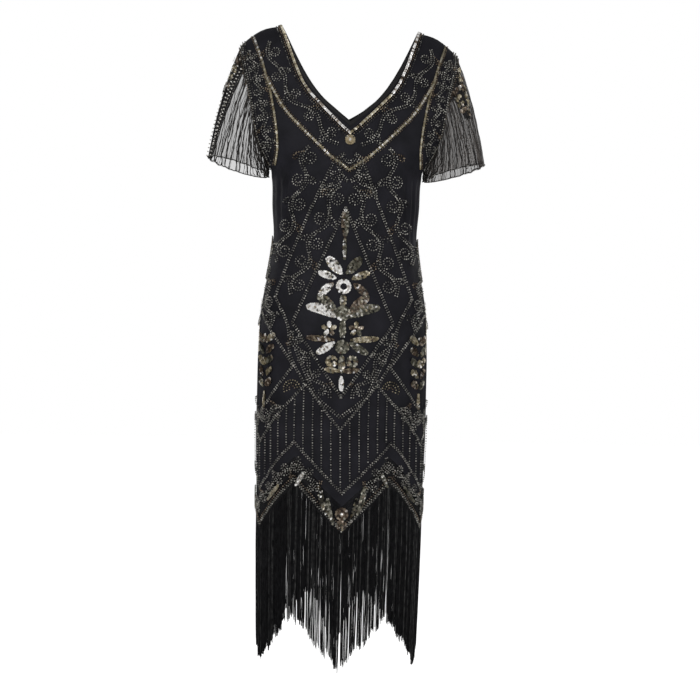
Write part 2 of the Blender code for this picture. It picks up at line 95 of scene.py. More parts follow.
# Columns: line, x at the front, z at the front, x at the back, z at the back.
TOP_EDGE = (
    (0, 0.000, -0.190, 0.000, -0.155),
    (1, 0.026, -0.168, 0.026, -0.140),
    (2, 0.052, -0.144, 0.052, -0.121),
    (3, 0.077, -0.109, 0.077, -0.093),
    (4, 0.102, -0.060, 0.102, -0.052),
    (5, 0.127, 0.000, 0.127, 0.000),
    (6, 0.166, -0.011, 0.166, -0.011),
    (7, 0.200, -0.038, 0.200, -0.038),
    (8, 0.195, -0.077, 0.195, -0.077),
    (9, 0.186, -0.116, 0.186, -0.116),
    (10, 0.179, -0.152, 0.180, -0.152),
    (11, 0.174, -0.186, 0.175, -0.186),
    (12, 0.167, -0.217, 0.168, -0.217),
    (13, 0.155, -0.243, 0.155, -0.243),
    (14, 0.1435, -0.262, 0.1435, -0.262),
)
BODICE_BASE = -0.282
HEM = ((0, -0.926), (NECK_LINE, -0.836), (TIP_LINE, -0.926), (SIDE_LINE, -0.884))
LINING_RISE = 0.046

# Soft creases pressed into the cloth.
# Columns: angle in degrees, lean in degrees for each metre down, top, bottom, half width in
# degrees, depth. A negative depth is a ridge.
CREASES = (
    (50.0, 30.0, -0.262, -0.400, 2.6, 0.0034),
    (56.5, 18.0, -0.255, -0.430, 2.4, -0.0012),
    (61.0, 22.0, -0.262, -0.415, 3.0, 0.0042),
    (71.0, 10.0, -0.268, -0.400, 3.0, 0.0030),
    (-53.0, -35.0, -0.262, -0.372, 2.6, 0.0022),
    (-64.0, -20.0, -0.266, -0.392, 3.0, 0.0028),
    (-76.0, -8.0, -0.270, -0.380, 3.0, 0.0022),
    (12.0, 25.0, -0.690, -0.960, 3.4, 0.0016),
    (-17.0, -12.0, -0.640, -0.960, 3.6, 0.0018),
    (31.0, 8.0, -0.610, -0.930, 3.4, 0.0026),
    (38.5, 5.0, -0.640, -0.930, 3.0, -0.0010),
    (-36.0, -6.0, -0.660, -0.940, 3.2, 0.0020),
    (52.0, 4.0, -0.560, -0.950, 3.2, 0.0026),
    (-58.0, -5.0, -0.590, -0.950, 3.4, 0.0024),
    (75.0, 0.0, -0.520, -0.930, 3.4, 0.0026),
    (-79.0, 0.0, -0.540, -0.930, 3.2, 0.0022),
    (101.0, 2.0, -0.540, -0.940, 3.4, 0.0026),
    (-104.0, 3.0, -0.560, -0.940, 3.4, 0.0024),
    (124.0, 4.0, -0.600, -0.950, 3.6, 0.0026),
    (-127.0, -3.0, -0.620, -0.950, 3.6, 0.0028),
    (149.0, 3.0, -0.650, -0.950, 3.6, 0.0024),
    (-153.0, 2.0, -0.640, -0.950, 3.4, 0.0020),
    (173.0, 0.0, -0.660, -0.950, 3.4, 0.0020),
    (116.0, 28.0, -0.262, -0.410, 3.0, 0.0034),
    (-119.0, -24.0, -0.262, -0.395, 3.0, 0.0032),
    (131.0, 16.0, -0.268, -0.420, 3.2, 0.0026),
    (-134.0, -18.0, -0.270, -0.400, 3.2, 0.0024),
    (163.0, 6.0, -0.330, -0.450, 4.0, 0.0020),
    (-160.0, 4.0, -0.330, -0.460, 4.0, 0.0020),
)


def curve(table, at):
    """Rows of a table at values of its first column, on a smooth curve through its rows."""
    rows = np.array(table, float)
    if rows[0, 0] > rows[-1, 0]:
        rows = rows[::-1]
    keys, values = rows[:, 0], rows[:, 1:]
    slopes = np.gradient(values, keys, axis=0)
    at = np.clip(np.asarray(at, float), keys[0], keys[-1])
    k = np.clip(np.searchsorted(keys, at, side="right") - 1, 0, len(keys) - 2)
    span = (keys[k + 1] - keys[k])[..., None]
    t = (at - keys[k])[..., None] / span
    return (
        (2 * t**3 - 3 * t**2 + 1) * values[k]
        + (t**3 - 2 * t**2 + t) * span * slopes[k]
        + (3 * t**2 - 2 * t**3) * values[k + 1]
        + (t**3 - t**2) * span * slopes[k + 1]
    )


def straight(table, at):
    return np.interp(at, *zip(*table))


def crease_depth(theta, z):
    """How far the creases press the cloth in at a place."""
    total = np.zeros(np.broadcast(theta, z).shape)
    for angle, lean, top, bottom, half_width, depth in CREASES:
        down = np.clip((top - z) / (top - bottom), 0.0, 1.0)
        middle = np.radians(angle + lean * (top - z))
        off = (theta - middle + math.pi) % (2 * math.pi) - math.pi
        total += depth * np.exp(-((off / math.radians(half_width)) ** 2)) * np.sin(np.pi * down) ** 0.8
    return total


# On its support the shoulders hang a little lower at the wearer's left, by this much a metre across.
SHOULDER_TILT = 0.016
TILT_RANGE = (-0.16, -0.05)


def body(theta, z):
    """Points of the dress's outer face."""
    theta, z = np.broadcast_arrays(np.asarray(theta, float), np.asarray(z, float))
    half_width, front_depth, back_depth = np.moveaxis(curve(RINGS, z), -1, 0)
    ahead = np.cos(theta)
    share = np.sin(theta)
    is_front = ahead >= 0
    depth = np.where(is_front, front_depth, back_depth)
    angle = np.degrees(np.arcsin(np.clip(np.abs(share), 0, 1)))
    for side, centre, height, spread, reach, rise in FULLNESS:
        near = ((angle - centre) / spread) ** 2 + ((z - height) / reach) ** 2
        depth = depth + np.where(is_front == (side == FRONT), rise * np.exp(-near), 0.0)
    x = share * half_width
    drop = np.clip((curve(RIDGE, np.abs(x))[..., 0] - z) / SHOULDER_DROP, 0.0, 1.0)
    depth = depth * np.sin(np.pi / 2 * drop) ** SHOULDER_ROUND
    y = -np.sign(ahead) * depth * np.abs(ahead) ** SQUARENESS
    pressed = crease_depth(theta, z)
    low, high = TILT_RANGE
    tilt = SHOULDER_TILT * x * np.clip((z - low) / (high - low), 0.0, 1.0)
    return np.stack((x - pressed * share, y + pressed * ahead, z - tilt), axis=-1)


def unit(vectors):
    return vectors / np.maximum(np.linalg.norm(vectors, axis=-1, keepdims=True), 1e-12)


def body_spots(theta, z):
    """Points and outward normals."""
    here = body(theta, z)
    across = body(theta + 0.002, z) - body(theta - 0.002, z)
    up = here - body(theta, z - 0.0006)
    return here, unit(np.cross(across, up))


def half_width_at(z):
    return curve(RINGS, z)[..., 0]


def from_front(path):
    """Angles and heights of a path given as seen from the front, in metres."""
    path = np.asarray(path, float)
    share = np.clip(path[:, 0] / half_width_at(path[:, 1]), -0.9999, 0.9999)
    return np.stack((np.arcsin(share), path[:, 1]), axis=1)


ROUND_ANGLES = np.radians(np.linspace(0, 90, 181))


def lengths_round(z):
    """Distances round the body from the centre front, at each of the set angles."""
    points = body(ROUND_ANGLES, np.full_like(ROUND_ANGLES, z))
    steps = np.linalg.norm(np.diff(points, axis=0), axis=1)
    return np.concatenate(((0.0,), np.cumsum(steps)))


QUARTER_LEVELS = np.linspace(-1.2, -0.26, 48)
QUARTERS = np.array([lengths_round(z)[-1] for z in QUARTER_LEVELS])
ROUND_SHARES = lengths_round(-0.70) / lengths_round(-0.70)[-1]


def from_round(path):
    """The same for a path given by the distance round the body from the centre."""
    path = np.asarray(path, float)
    share = path[:, 0] / np.interp(path[:, 1], QUARTER_LEVELS, QUARTERS)
    turn = np.interp(np.abs(share), ROUND_SHARES, ROUND_ANGLES)
    past = np.abs(share) > 1
    other = math.pi - np.interp(2 - np.abs(share), ROUND_SHARES, ROUND_ANGLES)
    return np.stack((np.sign(share) * np.where(past, other, turn), path[:, 1]), axis=1)


# The dress hangs a little turned on the body. Columns: height, degrees to the wearer's right.
TWIST = ((-0.93, 0.0), (-0.86, 1.2), (-0.74, 2.3), (-0.34, 2.0), (-0.22, 0.0))


def at_side(side, theta):
    """An angle of the front carried to the same place of a side."""
    return theta if side == FRONT else math.pi - theta


def on_side(side, way, path, twisted=True):
    """A path of angles and heights on the front's left half, moved to a side and half."""
    theta = at_side(side, path[:, 0]) * way
    if twisted:
        theta = theta - np.radians(straight(TWIST, path[:, 1]))
    return np.stack((theta, path[:, 1]), axis=1)


# ---------------------------------------------------------------------------------------------
# Flat paths.

# Curls of more turns than this are long. Each kind's eye has this share of the curl's radius.
LONG_CURL = 1.2
LONG_CURL_EYE = 0.24
SHORT_CURL_EYE = 0.55
STEPS_A_TURN = 26


def heading(angle):
    return np.stack((np.cos(angle), np.sin(angle)), axis=-1)


def all_round(count):
    """Angles evenly round a circle."""
    return np.arange(count) * 2 * math.pi / count


def rounded(points, per_run=10):
    """A smooth path through points."""
    points = np.asarray(points, float)
    padded = np.vstack((2 * points[0] - points[1], points, 2 * points[-1] - points[-2]))
    t = np.linspace(0, 1, per_run, endpoint=False)[:, None]
    runs = []
    for a, b, c, d in zip(padded, padded[1:], padded[2:], padded[3:]):
        square, cube = 2 * a - 5 * b + 4 * c - d, 3 * b - a - 3 * c + d
        runs.append(0.5 * (2 * b + (c - a) * t + square * t**2 + cube * t**3))
    return np.vstack(runs + [points[-1:]])


def filled_in(path, step=1.5):
    """The same path with points at least every step."""
    path = np.asarray(path, float)
    runs = [path[:1]]
    for a, b in zip(path, path[1:]):
        count = max(int(math.ceil(np.linalg.norm(b - a) / step)), 1)
        runs.append(a + (b - a) * np.linspace(0, 1, count + 1)[1:, None])
    return np.vstack(runs)


def beside(path, distance):
    """A path parallel to another, on its left, with mitred corners."""
    path = np.asarray(path, float)
    ways = unit(np.diff(path, axis=0))
    turned = np.stack((-ways[:, 1], ways[:, 0]), axis=1)
    joints = (turned[1:] + turned[:-1]) / (1 + np.sum(turned[1:] * turned[:-1], axis=1, keepdims=True))
    return path + distance * np.vstack((turned[:1], joints, turned[-1:]))


def spiral(centre, radius, end_angle, spin, turns):
    """From the eye of a curl to its outer end. spin is 1 anticlockwise, -1 clockwise."""
    inner = LONG_CURL_EYE if turns > LONG_CURL else SHORT_CURL_EYE
    t = np.linspace(0, 1, int(turns * STEPS_A_TURN))
    angle = math.radians(end_angle) - spin * 2 * math.pi * turns * (1 - t)
    reach = radius * (inner + (1 - inner) * t**0.9)
    return np.asarray(centre) + heading(angle) * reach[:, None]


# ---------------------------------------------------------------------------------------------
# Small things in piles, which become joined meshes.

GLASS, GOLD, PALE, BRONZE, DARK, TAN = range(6)
BEAD_SIDES = 5
BEAD_HALF_LENGTH = 0.34
BEAD_LIFT = 0.8
SEQUIN_SIDES = 8
SEQUIN_CUP = 0.055


class Pile:
    """Beads or sequins of one piece: places, directions, normals, sizes and tints."""

    def __init__(self):
        self.parts = []

    def add(self, points, ways, normals, size, tint):
        sizes = np.broadcast_to(np.asarray(size, float), (len(points),))
        tints = np.broadcast_to(np.asarray(tint, int), (len(points),))
        self.parts.append((points, unit(ways), unit(normals), sizes, tints))

    def columns(self):
        return [np.concatenate(column) for column in zip(*self.parts)]


def steps_along(surface, path, pitch):
    """Points, directions and normals at even distances along a path of surface places."""
    points, _ = surface(path[:, 0], path[:, 1])
    length = np.concatenate(((0.0,), np.cumsum(np.linalg.norm(np.diff(points, axis=0), axis=1))))
    at = np.linspace(0, length[-1], max(int(round(length[-1] / pitch)), 1) + 1)
    points, normals = surface(np.interp(at, length, path[:, 0]), np.interp(at, length, path[:, 1]))
    return points, np.gradient(points, axis=0), normals


def string(pile, surface, path, pitch, size, tint=GLASS):
    """A row of beads."""
    points, ways, normals = steps_along(surface, path, pitch)
    pile.add(points + unit(normals) * size * BEAD_LIFT, ways, normals, size, tint)


def ordinary_mesh(name, points, faces, materials, material_index=None, smooth=True, uv=None):
    """A mesh object from arrays, all of its faces with one number of corners."""
    faces = np.asarray(faces, np.int32)
    mesh = bpy.data.meshes.new(name)
    mesh.vertices.add(len(points))
    mesh.vertices.foreach_set("co", np.asarray(points, np.float32).ravel())
    corners = faces.shape[1]
    mesh.loops.add(faces.size)
    mesh.loops.foreach_set("vertex_index", faces.ravel())
    mesh.polygons.add(len(faces))
    mesh.polygons.foreach_set("loop_start", np.arange(0, faces.size, corners, dtype=np.int32))
    mesh.polygons.foreach_set("loop_total", np.full(len(faces), corners, np.int32))
    if material_index is not None:
        mesh.polygons.foreach_set("material_index", np.asarray(material_index, np.int32))
    mesh.update(calc_edges=True)
    mesh.validate()
    mesh.polygons.foreach_set("use_smooth", np.full(len(mesh.polygons), smooth))
    if uv is not None:
        layer = mesh.uv_layers.new(name="cloth")
        layer.data.foreach_set("uv", np.asarray(uv, np.float32)[faces.ravel()].ravel())
    for finish in materials:
        mesh.materials.append(finish)
    made = bpy.data.objects.new(name, mesh)
    bpy.context.scene.collection.objects.link(made)
    return made


def bead_shape():
    """A short glass tube's outside, one across: two rings with closed ends."""
    sides = BEAD_SIDES
    ring = heading(all_round(sides)) * 0.5
    points = [(x, y, z) for z in (-BEAD_HALF_LENGTH, BEAD_HALF_LENGTH) for x, y in ring]
    faces = []
    for k in range(sides):
        n = (k + 1) % sides
        faces += [(k, n, sides + n), (k, sides + n, sides + k)]
    for k in range(1, sides - 1):
        faces += [(0, k + 1, k), (sides, sides + k, sides + k + 1)]
    return np.array(points), np.array(faces)


def sequin_shape():
    """A cupped disc, one across, facing +Z."""
    sides = SEQUIN_SIDES
    points = [(0.5 * math.cos(a), 0.5 * math.sin(a), SEQUIN_CUP) for a in all_round(sides)]
    faces = [(k, (k + 1) % sides, sides) for k in range(sides)]
    return np.array(points + [(0, 0, -SEQUIN_CUP)]), np.array(faces)


def build_pile(name, pile, strung, *nodes):
    """Beads lie with their holes along the string, sequins flat on the cloth."""
    points, ways, normals, sizes, tints = pile.columns()
    across = unit(np.cross(normals, ways))
    if strung:
        shape, faces = bead_shape()
        axes = (across, np.cross(ways, across), ways)
    else:
        shape, faces = sequin_shape()
        axes = (np.cross(across, normals), across, normals)
    spread = shape[None, :, :] * sizes[:, None, None]
    placed = points[:, None, :]
    for k, axis in enumerate(axes):
        placed = placed + spread[..., k : k + 1] * axis[:, None, :]
    faces = faces[None] + (np.arange(len(points)) * len(shape))[:, None, None]
    index = np.repeat(tints, faces.shape[1])
    finishes = BEAD_FINISHES if strung else SEQUIN_FINISHES
    made = ordinary_mesh(name, placed.reshape(-1, 3), faces.reshape(-1, 3), finishes, index, smooth=strung)
    settle(made, "gold_sequins", *nodes)


def tilted(normals, ways, lean, chance, loose):
    """Sequin normals leaned back along the row, and each a little its own way."""
    across = unit(np.cross(normals, ways))
    jitter = np.array([(chance.gauss(0, loose), chance.gauss(0, loose)) for _ in range(len(normals))])
    return unit(normals + ways * (lean + jitter[:, :1]) + across * jitter[:, 1:])


# ---------------------------------------------------------------------------------------------
# Materials.


def fill(node, values):
    for name, value in values.items():
        node.inputs[name].default_value = value


def new_material(name, values):
    made = bpy.data.materials.new(name)
    made.use_nodes = True
    shader = made.node_tree.nodes["Principled BSDF"]
    fill(shader, values)
    return made, made.node_tree, shader


def add_node(tree, kind, values=None, **settings):
    node = tree.nodes.new("ShaderNode" + kind)
    for name, value in settings.items():
        setattr(node, name, value)
    fill(node, values or {})
    return node


def add_ramp(tree, *stops):
    """A colour ramp. Each stop is its place, then red, green and blue."""
    ramp = add_node(tree, "ValToRGB")
    elements = ramp.color_ramp.elements
    for k in (0, -1):
        elements[k].position, elements[k].color = stops[k][0], (*stops[k][1:], 1)
    for place, *colour in stops[1:-1]:
        elements.new(place).color = (*colour, 1)
    return ramp


def add_wave(tree, direction, pitch, values=None):
    wave = add_node(tree, "TexWave", values, wave_type="BANDS", bands_direction=direction)
    wave.inputs["Scale"].default_value = 2 * math.pi / (20 * pitch)
    return wave


def join(tree, *links):
    """Links, each a node and its output, then a node and its input."""
    for source, output, target, port in links:
        tree.links.new(source.outputs[output], target.inputs[port])


def cloth_material(name, dark, light, roughness, sheen, weave, weave_depth, alpha=1.0, shine=0.2):
    """Net or crepe: two sets of threads as bump, with slow changes of shade. weave is the pitch."""
    made, tree, shader = new_material(name, {
        "Roughness": roughness,
        "Sheen Weight": sheen,
        "Sheen Roughness": 0.4,
        "Sheen Tint": (0.75, 0.78, 0.9, 1),
        "Specular IOR Level": shine,
        "Alpha": alpha,
    })
    where = add_node(tree, "UVMap", uv_map="cloth")
    slow = add_node(tree, "TexNoise", {"Scale": 22, "Detail": 4})
    ramp = add_ramp(tree, (0.3, *dark), (0.7, *light))
    both = add_node(tree, "Math", operation="MAXIMUM")
    bump = add_node(tree, "Bump", {"Strength": 0.5, "Distance": weave_depth})
    for port, direction in enumerate("XY"):
        wave = add_wave(tree, direction, weave, {"Distortion": 0.6, "Detail": 1})
        join(tree, (where, "UV", wave, "Vector"), (wave, "Fac", both, port))
    join(
        tree,
        (where, "UV", slow, "Vector"),
        (slow, "Fac", ramp, "Fac"),
        (ramp, "Color", shader, "Base Color"),
        (both, "Value", bump, "Height"),
        (bump, "Normal", shader, "Normal"),
    )
    return made


def grain_material(name, roughness, metallic, coat, *stops):
    """Beads or sequins: each takes its own shade from the ramp."""
    values = {"Roughness": roughness, "Metallic": metallic, "Coat Weight": coat}
    made, tree, shader = new_material(name, values)
    island = add_node(tree, "NewGeometry")
    ramp = add_ramp(tree, *stops)
    join(tree, (island, "Random Per Island", ramp, "Fac"), (ramp, "Color", shader, "Base Color"))
    return made


def thread_material(name, dark, light, roughness, twist, shine=0.3):
    """Silky cord: fine slanting twist as bump, shade changing slowly down its length."""
    made, tree, shader = new_material(name, {"Roughness": roughness, "Specular IOR Level": shine})
    where = add_node(tree, "TexCoord")
    noise = add_node(tree, "TexNoise", {"Scale": 160, "Detail": 3})
    ramp = add_ramp(tree, (0.3, *dark), (0.75, *light))
    wave = add_wave(tree, "DIAGONAL", twist)
    bump = add_node(tree, "Bump", {"Strength": 0.6, "Distance": 0.0003})
    join(
        tree,
        (where, "Object", noise, "Vector"),
        (noise, "Fac", ramp, "Fac"),
        (ramp, "Color", shader, "Base Color"),
        (where, "Object", wave, "Vector"),
        (wave, "Fac", bump, "Height"),
        (bump, "Normal", shader, "Normal"),
    )
    return made


# Columns: name, dark and light shades, roughness, sheen, pitch and depth of the weave, then
# where they are not the usual ones, opacity and shine.
NET_BLACK, NET_SHEER, LINING_CREPE, PALE_SLEEVE_NET, LIT_PAINTED_SLEEVE_NET, DENSE_SLEEVE_NET, BINDING = (
    cloth_material(*row)
    for row in (
        ("beaded_net", (0.0085, 0.0085, 0.0108), (0.0150, 0.0146, 0.0192),
         0.6, 0.01, 0.0013, 0.00025, 1.0, 0.11),
        ("hem_net", (0.004, 0.004, 0.005), (0.009, 0.009, 0.010), 0.7, 0.01, 0.0013, 0.00025, 0.93, 0.11),
        ("black_lining", (0.004, 0.004, 0.006), (0.007, 0.007, 0.010), 0.5, 0.02, 0.0007, 0.0001),
        ("pale_sleeve_net", (0.045, 0.041, 0.038), (0.090, 0.085, 0.078), 0.7, 0.03, 0.0011, 0.0002, 0.34),
        # A lighter, less sheer copy of the sleeve net: painted light for the wearer's left sleeve.
        ("deep_sleeve_net", (0.052, 0.046, 0.042), (0.120, 0.107, 0.098), 0.7, 0.03, 0.0011, 0.0002, 0.62),
        ("dense_sleeve_net", (0.006, 0.006, 0.007), (0.014, 0.013, 0.014),
         0.7, 0.01, 0.0011, 0.0002, 0.97, 0.1),
        ("neck_binding", (0.008, 0.008, 0.009), (0.016, 0.015, 0.016), 0.6, 0.02, 0.0012, 0.0002),
    )
)
# Columns: name, roughness, metal, coat, then the stops of the ramp.
BEAD_FINISHES = [
    grain_material(*row)
    for row in (
        ("glass_beads", 0.3, 0.3, 0.3, (0.0, 0.03, 0.03, 0.028), (0.3, 0.15, 0.146, 0.13),
         (0.8, 0.34, 0.33, 0.295), (1.0, 0.64, 0.62, 0.57)),
        ("gold_beads", 0.3, 0.4, 0.2, (0.0, 0.06, 0.05, 0.025), (0.5, 0.24, 0.205, 0.12),
         (1.0, 0.60, 0.53, 0.37)),
        ("pale_beads", 0.3, 0.3, 0.4, (0.0, 0.40, 0.37, 0.32), (1.0, 0.92, 0.90, 0.85)),
        ("bronze_beads", 0.3, 0.4, 0.2, (0.0, 0.03, 0.022, 0.016), (0.6, 0.14, 0.10, 0.065),
         (1.0, 0.36, 0.29, 0.21)),
        ("dark_beads", 0.25, 0.3, 0.3, (0.0, 0.012, 0.012, 0.014), (0.6, 0.06, 0.058, 0.055),
         (1.0, 0.34, 0.33, 0.30)),
    )
]
SEQUIN_FINISHES = [
    grain_material(*row)
    for row in (
        ("grey_sequins", 0.3, 0.5, 0.0, (0.0, 0.03, 0.029, 0.022), (0.5, 0.13, 0.125, 0.092),
         (0.85, 0.28, 0.265, 0.21), (1.0, 0.62, 0.60, 0.52)),
        ("gold_sequins", 0.3, 0.5, 0.0, (0.0, 0.10, 0.082, 0.045), (0.4, 0.25, 0.205, 0.125),
         (0.8, 0.44, 0.385, 0.27), (1.0, 0.85, 0.79, 0.67)),
        ("pale_sequins", 0.3, 0.4, 0.0, (0.0, 0.30, 0.26, 0.22), (0.25, 0.84, 0.82, 0.79),
         (1.0, 0.99, 0.98, 0.97)),
        ("bronze_sequins", 0.3, 0.5, 0.0, (0.0, 0.025, 0.018, 0.014), (0.5, 0.12, 0.085, 0.06),
         (0.85, 0.26, 0.205, 0.15), (1.0, 0.62, 0.54, 0.46)),
        ("dark_sequins", 0.3, 0.8, 0.0, (0.0, 0.02, 0.02, 0.02), (0.7, 0.08, 0.075, 0.06),
         (1.0, 0.36, 0.34, 0.28)),
        ("tan_sequins", 0.32, 0.3, 0.0, (0.0, 0.26, 0.22, 0.135), (0.6, 0.40, 0.355, 0.25),
         (1.0, 0.66, 0.62, 0.52)),
    )
]
BRAID, FRINGE_THREAD, SHEEN_PAINTED_THREAD, GATHER_THREAD = (
    thread_material(*row)
    for row in (
        ("gold_braid", (0.22, 0.16, 0.08), (0.48, 0.38, 0.22), 0.42, 0.0012),
        ("fringe_thread", (0.0040, 0.0040, 0.0046), (0.0115, 0.0115, 0.0125), 0.40, 0.0022, 0.2),
        # A lighter thread colour: painted sheen for a share of the fringe.
        ("lit_fringe_thread", (0.0080, 0.0080, 0.0085), (0.110, 0.110, 0.108), 0.35, 0.0022),
        ("gather_thread", (0.008, 0.007, 0.007), (0.040, 0.036, 0.034), 0.5, 0.0010),
    )
)


def settle(piece, slot, *nodes):
    """Every piece rides on the part's one body, and the parts named after it are hidden. slot is not used.
    """
    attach(piece, "root")
    if nodes:
        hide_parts(*nodes)


# ---------------------------------------------------------------------------------------------
# Panels and linings.

# Columns: step between columns in lines, rows below the waist, rows above it.
NET_GRID = (0.25, 150, 70)
LINING_GRID = (0.5, 60, 34)
NET_DEPTH = 0.0003
LINING_DEPTH = 0.0021


def edge_rows(lines):
    """The top edge at each line: x and z at the front, then at the back."""
    lines = np.asarray(lines, float)
    rows = np.zeros((len(lines), 4))
    for low, high in ((0, NECK_LINE), (NECK_LINE, SHOULDER_LINE), (SHOULDER_LINE, SIDE_LINE)):
        stretch = [row for row in TOP_EDGE if low <= row[0] <= high]
        inside = (lines >= low) & (lines <= high)
        rows[inside] = curve(stretch, lines[inside])
    # Front and back meet on the ridge along the shoulder seam.
    seam = (lines >= NECK_LINE) & (lines <= SHOULDER_LINE)
    for x_column, z_column in ((0, 1), (2, 3)):
        rows[seam, z_column] = curve(RIDGE, rows[seam, x_column])[..., 0]
    return rows


def lines_across(step):
    """The cut's lines from side seam to side seam, negative at the wearer's right."""
    half = np.arange(0, SIDE_LINE + step / 2, step)
    return np.concatenate((-half[:0:-1], half))


def panel_places(side, hem_rise, grid):
    """Angles and heights of a panel's grid, from the hem up, across both halves."""
    column_step, lower_rows, upper_rows = grid
    lines = lines_across(column_step)
    ways = np.where(lines < 0, -1.0, 1.0)
    lines = np.abs(lines)
    ring = np.radians(straight(LINE_ANGLES, lines))
    hem = straight(HEM, lines) + hem_rise
    rows = []
    for t in np.linspace(0, 1, lower_rows, endpoint=False):
        rows.append((at_side(side, ring), hem + (BODICE_BASE - hem) * t))
    edge = edge_rows(lines)
    x, top = (edge[:, 0], edge[:, 1]) if side == FRONT else (edge[:, 2], edge[:, 3])
    top_share = np.clip(x / half_width_at(top), 0.0, 1.0)
    for t in np.linspace(0, 1, upper_rows + 1):
        share = np.sin(ring) * (1 - t) + top_share * t
        theta = np.arcsin(np.clip(share, 0, 1))
        rows.append((at_side(side, theta), BODICE_BASE * (1 - t) + top * t))
    return np.array([row[0] for row in rows]) * ways, np.array([row[1] for row in rows]), lines


def grid_faces(height, width, closed=False):
    index = np.arange(height * width).reshape(height, width)
    following = np.roll(index, -1, axis=1)
    if not closed:
        index, following = index[:, :-1], following[:, :-1]
    return np.stack((index[:-1], following[:-1], following[1:], index[1:]), axis=-1).reshape(-1, 4)


def shell(name, side, depth, hem_rise, grid, materials):
    """One panel of cloth as a single sheet. A second finish is for the hem below the lining."""
    theta, z, lines = panel_places(side, hem_rise, grid)
    points, normals = body_spots(theta, z)
    points = points - depth * normals
    height, width = theta.shape
    faces = grid_faces(height, width)
    if side == BACK:
        faces = faces[:, ::-1]
    steps = np.linalg.norm(np.diff(points, axis=1), axis=2)
    round_length = np.concatenate((np.zeros((height, 1)), np.cumsum(steps, axis=1)), axis=1)
    centre = width // 2
    uv = np.stack((round_length - round_length[:, centre : centre + 1], z), axis=-1).reshape(-1, 2)
    index = None
    if len(materials) > 1:
        middle = z.reshape(-1)[faces].mean(axis=1)
        line = np.broadcast_to(lines, theta.shape).reshape(-1)[faces].mean(axis=1)
        index = (middle < straight(HEM, line) + LINING_RISE).astype(int)
    return ordinary_mesh(name, points.reshape(-1, 3), faces, materials, index, uv=uv)


def make_panels():
    for side, name in SIDE_NAMES.items():
        net = shell(f"{name}_net", side, NET_DEPTH, 0.0, NET_GRID, [NET_BLACK, NET_SHEER])
        settle(net, "beaded_net", f"{name}_panel")
        crepe = shell(f"{name}_crepe", side, LINING_DEPTH, LINING_RISE, LINING_GRID, [LINING_CREPE])
        settle(crepe, "black_lining", f"{name}_lining")


# ---------------------------------------------------------------------------------------------
# Sleeves.

SLEEVES = ((1, "left"), (-1, "right"))
SLEEVE_HEM = np.array((0.202, 0.004, -0.264))
SLEEVE_HEM_REACH = (0.054, 0.074)
SLEEVE_HEM_TILT = 0.27
SLEEVE_SWELL = 0.17
SLEEVE_WAVES = 14
SLEEVE_WAVE_DEPTH = 0.0026
SLEEVE_COLUMNS = 420
SLEEVE_ROWS = 44
ARMHOLE_LINES = SIDE_LINE - SHOULDER_LINE
# Turns from the shoulder towards the front: where each sleeve's flower lies, and its beaded column's
# middle and half width. The net is denser there and at the flower, by half widths down the sleeve.
SLEEVE_FLOWERS = {1: 0.092, -1: 0.000}
SLEEVE_COLUMNS_OF_BEADS = {1: (-0.110, 0.0), -1: (0.046, 0.050)}
SLEEVE_DENSE = {
    1: ((0.0, 0.10), (0.05, 0.08), (0.12, 0.050), (0.42, 0.030), (0.46, 0.0), (1.0, 0.0)),
    -1: ((0.0, 0.11), (0.04, 0.07), (0.08, 0.04), (0.42, 0.025), (0.46, 0.0), (1.0, 0.0)),
}
CRINKLES = ((31, 0.0007, 0.4), (47, 0.0008, 2.1), (73, 0.0005, 4.0))  # waves round, depth, phase
# Gathers, thick ones and then thin: how many on each sleeve, how far they sway, range of radii.
GATHER_COUNTS = {1: (34, 110), -1: (46, 56)}
GATHER_SWAYS = (0.0030, 0.0018)
GATHER_RADII = ((0.0008, 0.0016), (0.00025, 0.0005))
GATHER_FAN = 0.075
GATHER_SEEDS = {1: 31, -1: 32}
HEM_EDGE_POINTS = 421
THREAD_LIFT = 0.0003


def outward(turn, up=0.0):
    """Ways out from a sleeve's middle, round it from the shoulder."""
    angle = 2 * math.pi * np.asarray(turn, float)
    return np.stack((np.cos(angle), -np.sin(angle), np.full_like(angle, up)), axis=-1)


def armhole(turn, across):
    """The armhole's edge as at the left. turn runs from 0 at the shoulder, down the front, to 1."""
    place = np.mod(turn, 1.0) * 2 * ARMHOLE_LINES
    is_front = place <= ARMHOLE_LINES
    line = np.where(is_front, SHOULDER_LINE + place, SHOULDER_LINE + 2 * ARMHOLE_LINES - place)
    rows = curve([row for row in TOP_EDGE if row[0] >= SHOULDER_LINE], line)
    x = np.where(is_front, rows[..., 0], rows[..., 2])
    z = np.where(is_front, rows[..., 1], rows[..., 3])
    theta = np.arcsin(np.clip(x / half_width_at(z), -1, 1))
    return body(across * np.where(is_front, theta, math.pi - theta), z) * (across, 1, 1)


def sleeve_form(turn, t, across):
    """A sleeve's points as at the left: turn round it, t from the armhole to the hem."""
    turn, t = np.broadcast_arrays(np.asarray(turn, float), np.asarray(t, float))
    start = armhole(turn, across)
    angle = 2 * math.pi * turn
    out = outward(turn)
    wave = SLEEVE_WAVE_DEPTH * t * np.sin(SLEEVE_WAVES * angle)
    for count, depth, phase in CRINKLES:
        bend = 0.9 * np.sin(3 * t + 5 * angle)
        wave = wave + depth * (0.5 + 0.5 * t) * np.sin(count * angle + phase + bend)
    end = SLEEVE_HEM + out * (*SLEEVE_HEM_REACH, 0)
    end[..., 2] += SLEEVE_HEM_TILT * (end[..., 0] - SLEEVE_HEM[0])
    run = end - start
    length = np.linalg.norm(run, axis=-1)
    bulge = SLEEVE_SWELL * length * t * (1 - t) * (1 - t / 3)
    return start + run * t[..., None] + (bulge + wave)[..., None] * out


